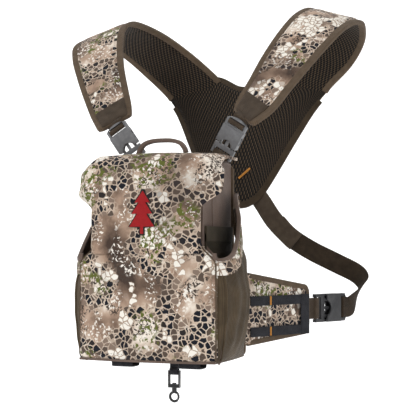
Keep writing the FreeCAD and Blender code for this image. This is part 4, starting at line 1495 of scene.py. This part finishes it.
@dataclass
class Wing:
    """Padded wing at the pack's rear corner, with webbing rows and the waist buckle."""

    finishes: Finishes
    angle: float = math.radians(65.0)
    root: tuple[float, float] = (79.2, -3.0)
    root_gap: float = 3.4
    length: float = 108.0
    tail: float = 14.0
    buckle_z: float = -62.0
    rows_z: tuple[float, float] = (-85.0, -50.0)
    root_plan: tuple = ((73.0, -3.4), (78.0, -3.2), (81.0, -1.2), (82.6, 2.6), (84.0, 6.5))

    def point(self, s: object, z: object, out: object) -> Array:
        """Points of the wing in its own directions.

        Args:
            s: distance from the root along the wing.
            z: height.
            out: distance from its middle surface, outwards.

        Returns:
            The points.
        """
        x = self.root[0] + s * math.cos(self.angle) + out * math.sin(self.angle)
        y = self.root[1] + s * math.sin(self.angle) - out * math.cos(self.angle)
        return join(x, y, z)

    def panel(self, side: Side) -> None:
        """Crowned panel, tapered in a straight line and rounded at the end, with a bound edge.

        Args:
            side: which wing.
        """
        f = self.finishes
        body = side.node("wing")
        share = np.linspace(0, 1, 90)
        s = self.root_gap + share * (self.length - self.root_gap)
        clip = 7.0 * smoothstep(s, self.length - 8, self.length) ** 2
        low = -99.0 + 9.0 * share + clip
        high = -19.0 - 16.0 * share - clip
        v = np.linspace(0, 1, 60)[:, None]
        z = low + v * (high - low)
        inset = np.minimum(np.minimum(v, 1 - v) * (high - low), self.length + 0.4 - s)
        crown = 1.9 * smoothstep(np.clip(inset / 9.0, 0, 1), 0.0, 1.0) + 0.6
        name = side.node("wing_pad")
        piece = slab(name, self.point(s, z, crown), self.point(s, z, -crown), [f.strap_camo, f.mesh], side)
        fit(piece, body, "camo_cloth", side.node("wing_panel"))
        top, foot = self.point(s, high - 1.8, 0.0), self.point(s, low + 1.8, 0.0)
        end = self.point(s[-1] - 1.8, np.linspace(low[-1] + 5, high[-1] - 5, 12), 0.0)
        line = np.concatenate([foot[:-2], end, top[-3::-1]])
        back = self.point(0, 0, 0) - self.point(1, 0, 0)
        way = np.concatenate([same((0, 0, 1.0), 88), same(back, 12), same((0, 0, -1.0), 88)])
        made = sweep(name + "_binding", line, way, flat_profile(6.2, 4.4), f.binding, side=side)
        fit(made, body, "brown_webbing")

    def fold(self, side: Side) -> None:
        """Cloth fold that joins the wing's root to the pack.

        Args:
            side: which wing.
        """
        z = np.linspace(-98.0, -20.0, 50)[:, None]
        plan = smooth_line(self.root_plan, 20)
        skin = join(plan[:, 0], plan[:, 1], z)
        shift = np.array([1.3, -0.6, 0])
        material = self.finishes.strap_camo
        made = slab(side.node("wing_root"), skin + shift, skin - shift * 0.3, [material], side)
        ends = side.mirror(np.array([[77.5, -3.2, -60.0], [81.5, 1.5, -60.0]]))
        span(made, "camo_cloth", ("pack", side.node("wing")), ends)

    def webbing(self, side: Side) -> None:
        """Two rows, the end strip, the bartacks and the tail round the buckle's bar.

        Each row stands off the wing between its bars of thread, as the root
        of a sine's absolute value.

        Args:
            side: which wing.
        """
        f = self.finishes
        body = side.node("wing")
        out = self.point(0, 0, 1) - self.point(0, 0, 0)
        up = np.array([0, 0, 1.0])
        s = np.linspace(5.0, 103.0, 120)
        slack = 0.7 * np.abs(np.sin((s - 5.0) * math.pi / 32.6)) ** 0.6
        for tag, z in zip(("lower", "upper"), self.rows_z):
            line = self.point(s, z, 3.5 + slack)
            profile = flat_profile(11.0, WEBBING_THICK)
            made = sweep(side.node(f"wing_row_{tag}"), line, same(up, 120), profile, f.black, side=side)
            fit(made, body, "black_webbing")
            spot = self.point(37.6, z, 4.3)
            put_bartack(side.node(f"bartack_{tag}"), spot, up, out, 10.0, body, f.orange, side)
        line = self.point(97.5, np.linspace(-91.0, -44.0, 50), 4.6)
        across = same(self.point(1, 0, 0) - self.point(0, 0, 0), 50)
        profile = flat_profile(15.0, WEBBING_THICK)
        made = sweep(side.node("wing_end_strip"), line, across, profile, f.black, side=side)
        fit(made, body, "black_webbing", side.node("wing_webbing"))
        waist = self.buckle()
        bar = 1.7 * waist.scale
        path = wrap_path(bar, bar, self.tail + 7.0, True)
        made = waist.webbing(side.node("waist_strap"), path, 25.0, side, f.brown)
        fit(made, body, "black_webbing", side.node("wing_tail"))
        waist.dress(side.node("waist_buckle"), body, f.charcoal, "dark_plastic")

    def buckle(self) -> BuckleFrame:
        """Place of the waist buckle at the end of the wing's webbing."""
        origin = tuple(self.point(self.length + self.tail, self.buckle_z, 0.0))
        return BuckleFrame(origin, (0.0, 0.0, 1.0), (math.cos(self.angle), math.sin(self.angle), 0.0), 1.25)

    def build(self) -> None:
        """Make both wings."""
        for side in Side:
            self.panel(side)
            self.fold(side)
            self.webbing(side)


@dataclass
class Harness:
    """Shoulder straps, yoke and the webbing between them."""

    finishes: Finishes
    wing: Wing
    thickness: float = 7.0
    bar_reach: float = 39.8
    yoke_half: float = 116.0
    yoke_foot: tuple[float, float] = (183.0, 66.0)
    yoke_slope: float = 55.0 / 163.0
    yoke_out: tuple[float, float] = (0.9475, -0.3197)
    edges: tuple = (
        ((66, 3, 168), (95, -21, 148)), ((70, 9, 182), (112, -4, 165)), ((79, 19, 203), (128, 9, 189)),
        ((91, 33, 233), (146, 26, 217)), ((103, 57, 264), (163, 46, 244)), ((113, 86, 289), (175, 72, 266)),
        ((119, 125, 304), (180, 115, 282)), ((118, 170, 307), (178, 165, 288)),
        ((104, 210, 298), (167, 212, 275)), ((77, 234, 275), (146, 235, 252)),
        ((48, 243, 248), (119, 236, 226)))
    top_edge: tuple = ((0, 229), (16, 232), (47, 246), (80, 236), (117, 224))
    low_edge: tuple = ((0, 66), (19, 69), (38, 87), (72, 152), (94, 193), (117, 224))
    tail_path: tuple = (
        (20, 199, 90), (28, 196, 81), (38, 191, 69), (55, 186.4, 46), (76, 185.6, 25), (84, 186, 18))
    belt_path: tuple = (
        (58, 189, 43), (76, 188, 25), (102, 190, 8), (136, 193, -9), (160, 194, -21), (170, 189, -31),
        (168, 180, -43))
    belt_across: tuple = (
        (0.7, 0, 0.71), (0.6, 0, 0.8), (0.5, 0, 0.86), (0.44, 0, 0.9), (0.48, -0.1, 0.87), (0.56, -0.22, 0.8),
        (0.5, -0.24, 0.83))
    belt_wrap: tuple = (
        (16, 4, 3.65), (9, 0, 3.65), (1, 0, 3.65), (-2.0, 0, 3.65), (-3.0, 0, 1.6), (-3.0, 0, -1.6),
        (-1.4, 0, -3.5), (1.6, 0, -3.5), (3.4, 0, -0.5), (3.6, 0, 2.2))
    belt_bend: tuple = ((100.0, 190.0, 8.0), (166.0, 182.0, -42.0))

    def strap_grids(self) -> tuple[Array, Array, Array, Array]:
        """Middle surface of the right strap.

        Both edges are smooth lines through the edge points; rows run between
        them, and the normal is the cross product of across and along.

        Returns:
            The middle surface, a normal for each row, and the neck and arm edges.
        """
        pairs = np.array(self.edges, float)
        last = pairs[-1] + np.array([-9.0, 1.0, -11.0])
        pairs = np.concatenate([pairs, last[None]])
        neck, arm = smooth_line(pairs[:, 0], 170), smooth_line(pairs[:, 1], 170)
        t = np.linspace(0, 1, 31)[None, :, None]
        middle = neck[:, None] * (1 - t) + arm[:, None] * t
        along = unit(np.gradient((neck + arm) / 2, axis=0))
        return middle, unit(np.cross(unit(arm - neck), along)), neck, arm

    def strap(self, side: Side) -> None:
        """Padded strap: crowned camouflage face, mesh against the wearer, bound all round.

        The half thickness is a smooth step in from each edge, pressed down by
        bell curves at the two cross seams and by a quarter circle at the end.

        Args:
            side: which strap.
        """
        f = self.finishes
        middle, normal, neck, arm = self.strap_grids()
        u = np.linspace(-1, 1, 31)[None]
        run = run_of(middle[:, 15])[:, None]
        edge = smoothstep(1 - np.abs(u), 0.0, 0.34)
        end = np.sqrt(np.clip(1 - (1 - np.clip(run / 6.0, 0, 1)) ** 2, 0, 1))
        seam = sum(np.exp(-(((run - at * run[-1]) / 1.3) ** 2)) for at in (0.30, 0.62))
        half = 1.0 + (self.thickness / 2 - 0.8) * edge * (0.4 + 0.6 * end) - 0.8 * seam * edge
        wave = 0.5 * ripple(run + 0 * u, u * 28 + 0 * run, 40.0, 23) * edge
        top = middle + normal[:, None] * (half + wave)[..., None]
        under = middle - normal[:, None] * (half - 0.2)[..., None]
        piece = slab(side.node("shoulder_strap"), top, under, [f.strap_camo, f.mesh], side)
        fit(piece, "pack", "camo_cloth", side.node("front_pad"), side.node("back_pad"))
        self.strap_binding(side)
        for tag, column in (("neck", 4), ("arm", 26)):
            line = top[6:-6, column] + normal[6:-6] * 0.1
            made = stitches(side.node(f"strap_{tag}_stitches"), line, normal[6:-6], f.stitch, side)
            fit(made, "pack", "camo_cloth")
        forward = unit(middle[3, 15] - middle[0, 15]) * 0.8
        lift = normal[:13, None] * 0.9
        skin, below = top[:13, 3:-3] + lift - forward, under[:13, 3:-3] - lift - forward
        fit(slab(side.node("strap_end_cap"), skin, below, [f.brown], side), "pack", "brown_webbing")

    def strap_binding(self, side: Side) -> None:
        """Binding up one edge of the strap, round its front end and along the other edge.

        Args:
            side: which strap.
        """
        middle, _, neck, arm = self.strap_grids()
        across = unit(arm - neck)
        neck_line, arm_line = (neck + across * 2.2)[1:-1], (arm - across * 2.2)[-2:0:-1]
        end = (middle[0, 3:-3] + (middle[3, 3:-3] - middle[0, 3:-3]) * 0.3)[::-1]
        loop = np.concatenate([arm_line, end, neck_line])
        along = unit(middle[3, 15] - middle[0, 15])
        widths = np.concatenate([across[-2:0:-1], same(-along, len(end)), -across[1:-1]])
        binding, profile = self.finishes.binding, flat_profile(8.0, 5.6)
        made = sweep(side.node("strap_binding"), loop, widths, profile, binding, side=side)
        fit(made, "pack", "brown_webbing")

    def yoke_point(self, x: Array, z: Array, out: Array) -> Array:
        """Point of the yoke's tilted plane at a distance behind the wearer's side."""
        y = self.yoke_foot[0] + self.yoke_slope * (z - self.yoke_foot[1])
        return join(x, y + self.yoke_out[0] * out, z + self.yoke_out[1] * out)

    def yoke(self) -> None:
        """Padded yoke: mesh towards the wearer, camouflage behind, a bound edge and a bartack.

        Its outline is two smooth lines in X and Z. The crown is a smooth step
        in from the free edges, and it keeps its height where a strap begins.
        """
        f = self.finishes
        top, low = smooth_line(self.top_edge, 60), smooth_line(self.low_edge, 60)
        x = self.yoke_half * np.linspace(-1, 1, 140)
        z_top, z_low = np.interp(np.abs(x), *top.T), np.interp(np.abs(x), *low.T)
        v = np.linspace(0, 1, 70)[:, None]
        zz = z_low + v * (z_top - z_low)
        xx = np.repeat(x[None], 70, axis=0)
        tall = np.maximum(z_top - z_low, 0.1)
        free_top = (1 - v) * tall + 14.0 * smoothstep(np.abs(x), 42.0, 54.0)
        edge = smoothstep(np.minimum(v * tall * 0.85, free_top), 0.0, 12.0)
        crown = 2.7 * edge
        wave = 0.6 * ripple(xx, zz, 60.0, 29) * edge
        near = self.yoke_point(xx, zz, 2.4 - crown - wave)
        piece = slab("yoke_pad", near, self.yoke_point(xx, zz, 3.6 + crown), [f.mesh, f.strap_camo])
        fit(piece, "pack", "mesh_cloth", "yoke_panel")
        out = np.array([0, *self.yoke_out])
        edges = (("yoke_binding", 0, 6, 103.0), ("yoke_notch_binding", -1, -7, 52.0))
        for name, row, inner_row, reach in edges:
            keep = np.abs(x) < reach
            inward = unit(near[inner_row, keep] - near[row, keep])
            ring = near[row, keep] + inward * 2.0 + out * 2.4
            fit(sweep(name, ring, inward, flat_profile(9.0, 5.2), f.edging), "pack", "brown_webbing")
        spot = self.yoke_point(10.5, 109.0, -0.9)
        put_bartack("yoke_bartack", spot, np.array([0.72, 0.22, 0.66]), -out, 20.0, "pack", f.orange)

    def belt(self, side: Side) -> None:
        """Yoke tail, and the belt from it to the bar of the waist buckle.

        Args:
            side: which half of the harness.
        """
        f = self.finishes
        line = smooth_line(self.tail_path, 60)
        across, profile = same((0.64, 0.0, 0.76), 60), flat_profile(25.0, 1.8)
        made = sweep(side.node("yoke_strap"), line, across, profile, f.brown, side=side)
        fit(made, "pack", "brown_webbing", side.node("yoke_tail"))
        wing = self.wing
        bar = wing.length + wing.tail + BUCKLE_REACH
        wrap = [wing.point(bar + a, wing.buckle_z + up, out) for a, up, out in self.belt_wrap]
        across = [*self.belt_across, (0.12, -0.06, 0.99), *[(0, 0, 1)] * (len(wrap) - 1)]
        both = smooth_line(np.hstack([np.array([*self.belt_path, *wrap]), np.array(across)]), 190)
        profile = flat_profile(25.0, WEBBING_THICK)
        made = sweep(side.node("belt"), both[:, :3], both[:, 3:], profile, f.dark, side=side)
        ends = side.mirror(np.array(self.belt_bend))
        span(made, "dark_webbing", ("pack", side.node("wing")), ends, side.node("belt_webbing"))

    def shoulder(self, side: Side) -> None:
        """Webbing tab on the pack, and the webbing from the strap round the buckle's far bar.

        Args:
            side: which half of the harness.
        """
        f = self.finishes
        tab = SHOULDER.webbing(side.node("tab"), wrap_path(1.7, 1.7, 14.0, True), 20.0, side, f.brown)
        fit(tab, "pack", "dark_webbing", side.node("shoulder_tab"))
        across = SHOULDER.axes()[0]
        ring = wrap_path(2.0, 1.0, 9.0, False)
        ring[:, 1] += self.bar_reach
        wrap = SHOULDER.place(ring)
        pairs = np.array(self.edges, float)
        toward = (pairs[0, 0] + pairs[0, 1]) / 2 + unit(np.sum(pairs[1] - pairs[0], axis=0)) * 6.0
        head = np.linspace(toward, wrap[0], 6)[:-1]
        share = np.linspace(0, 1, 6)[:-1, None]
        turned = unit(unit(pairs[0, 1] - pairs[0, 0]) * (1 - share) + across * share)
        wide = np.concatenate([turned, same(across, len(ring))])
        centres = np.concatenate([head, wrap])
        profile = flat_profile(20.0, WEBBING_THICK)
        made = sweep(side.node("strap_webbing"), centres, wide, profile, f.brown, side=side)
        ends = side.mirror(np.array([toward, centres[5]]))
        bodies = ("pack", side.node("shoulder_buckle"))
        span(made, "brown_webbing", bodies, ends, side.node("shoulder_webbing"))

    def build(self) -> None:
        """Make the harness."""
        self.yoke()
        for side in Side:
            self.strap(side)
            self.belt(side)
            self.shoulder(side)
            prefix = side.node("shoulder_buckle")
            SHOULDER.dress(prefix, prefix, self.finishes.grey, "grey_plastic")


def repaint(node: str, material: Material) -> None:
    """Give a CAD node that stays a better material.

    Args:
        node: the CAD node.
        material: the finish.
    """
    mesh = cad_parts[node].data
    mesh.materials.clear()
    mesh.materials.append(material)
    LOG.info("%s keeps its shape, in %s", node, material.name)


@dataclass
class Tether:
    """Swivel hook on its webbing tab under the pack."""

    finishes: Finishes
    bar: tuple[float, float, float] = (0.0, -20.0, -130.0)

    def build(self) -> None:
        """Webbing tab, and the glossy finish of the hook's own pieces."""
        gloss = self.finishes.gloss
        tab = BuckleFrame(self.bar, (1.0, 0.0, 0.0), (0.0, 0.0, -1.0), 1.0)
        path = wrap_path(1.5, 1.5, 18.5, True)
        made = tab.webbing("tether_tab", path, 10.0, Side.RIGHT, self.finishes.black)
        fit(made, "pack", "black_webbing", "hook_tab")
        fit(rounded_copy("hook_eye", gloss, 0.6), "hook_eye", "black_plastic", "hook_eye")
        for node in ("hook_body", "hook_gate"):
            repaint(node, gloss)


@dataclass
class Studio:
    """Pale sweep, soft lights and the camera."""

    floor_z: float = -0.420
    azimuth: float = math.radians(22.0)
    distance: float = 1.3
    height: float = 0.008
    lens: float = 97.4
    aim_right: float = 0.023508
    aim_up: float = 0.037845
    sweep_start: float = 1600.0
    sweep_radius: float = 900.0
    glow: float = 0.55
    sky: float = 0.52

    def floor(self) -> None:
        """Pale floor that sweeps up behind the pack in a quarter circle."""
        board = Board("studio_white")
        pale = board.mix(board.noise(board.coords(), 3.0), (0.86, 0.86, 0.86), (0.89, 0.89, 0.89))
        board.plug(board.shader.inputs["Emission Color"], pale)
        board.shader.inputs["Emission Strength"].default_value = self.glow
        white = board.finish(pale, 0.9)
        angle = np.linspace(0, math.pi / 2, 24)
        y = np.concatenate([[-4000.0], self.sweep_start + self.sweep_radius * np.sin(angle), [2500.0]])
        z = np.concatenate([[0.0], self.sweep_radius * (1 - np.cos(angle)), [4200.0]]) + self.floor_z / MM
        x = np.linspace(-4500, 4500, 5)
        right, back = self.ways()
        turn = np.array([right, -np.array(back), (0, 0, 1)])
        points = join(x[None], y[:, None], z[:, None]).reshape(-1, 3) @ turn
        faces = quads(len(y), len(x))
        uv, slots = np.zeros((len(faces), 4, 2)), np.zeros(len(faces))
        put_mesh("studio_floor", points, faces, uv, slots, [white])

    def ways(self) -> tuple[tuple[float, float, float], tuple[float, float, float]]:
        """Level directions to the camera's right and from the pack back to the camera."""
        turn = self.azimuth
        return (math.cos(turn), math.sin(turn), 0.0), (math.sin(turn), -math.cos(turn), 0.0)

    def light(self, name: str, place: tuple[float, float, float], size: float, power: float) -> None:
        """Put up a square area light aimed at the pack.

        Args:
            name: the light's name.
            place: its place in metres.
            size: its side in metres.
            power: its power in watts.
        """
        data = bpy.data.lights.new(name, "AREA")
        data.size, data.energy = size, power
        lamp = bpy.data.objects.new(name, data)
        lamp.location = place
        bpy.context.scene.collection.objects.link(lamp)
        aim = Vector((0.0, 0.05, 0.06)) - lamp.location
        lamp.rotation_mode = "QUATERNION"
        lamp.rotation_quaternion = aim.to_track_quat("-Z", "Y")

    def camera(self) -> None:
        """Camera in front of the pack and to its right half's side, aimed by two slopes."""
        data = bpy.data.cameras.new("camera")
        data.lens = self.lens
        camera = bpy.data.objects.new("camera", data)
        bpy.context.scene.collection.objects.link(camera)
        bpy.context.scene.camera = camera
        right, back = (Vector(way) for way in self.ways())
        up = Vector((0, 0, 1))
        camera.location = back * self.distance + up * self.height
        aim = -back + right * self.aim_right + up * self.aim_up
        camera.rotation_mode = "QUATERNION"
        camera.rotation_quaternion = aim.to_track_quat("-Z", "Y")

    def build(self) -> None:
        """Make the floor, the lights, the world and the camera."""
        self.floor()
        self.light("key", (-1.1, -1.9, 1.7), 1.2, 30.0)
        self.light("fill", (1.9, -1.2, 0.6), 1.6, 9.0)
        self.light("top", (0.2, 0.6, 2.1), 1.4, 16.0)
        bpy.context.scene.view_settings.view_transform = "Standard"
        world = bpy.data.worlds.new("studio_air")
        world.use_nodes = True
        air = world.node_tree.nodes["Background"]
        air.inputs[0].default_value = (1.0, 1.0, 1.0, 1.0)
        air.inputs[1].default_value = self.sky
        bpy.context.scene.world = world
        self.camera()


def main() -> None:
    """Build the pack, lid, wings, harness, tether and studio in order."""
    logging.basicConfig(level=logging.INFO)
    finishes = Finishes()
    wing = Wing(finishes)
    Pack(finishes).build()
    Lid(finishes).build()
    wing.build()
    Harness(finishes, wing).build()
    Tether(finishes).build()
    repaint("stiffener_sheet", finishes.sheet)
    repaint("shelf_magnets", finishes.steel)
    repaint("lid_magnets", finishes.steel)
    Studio().build()


if __name__ == "__main__":
    main()
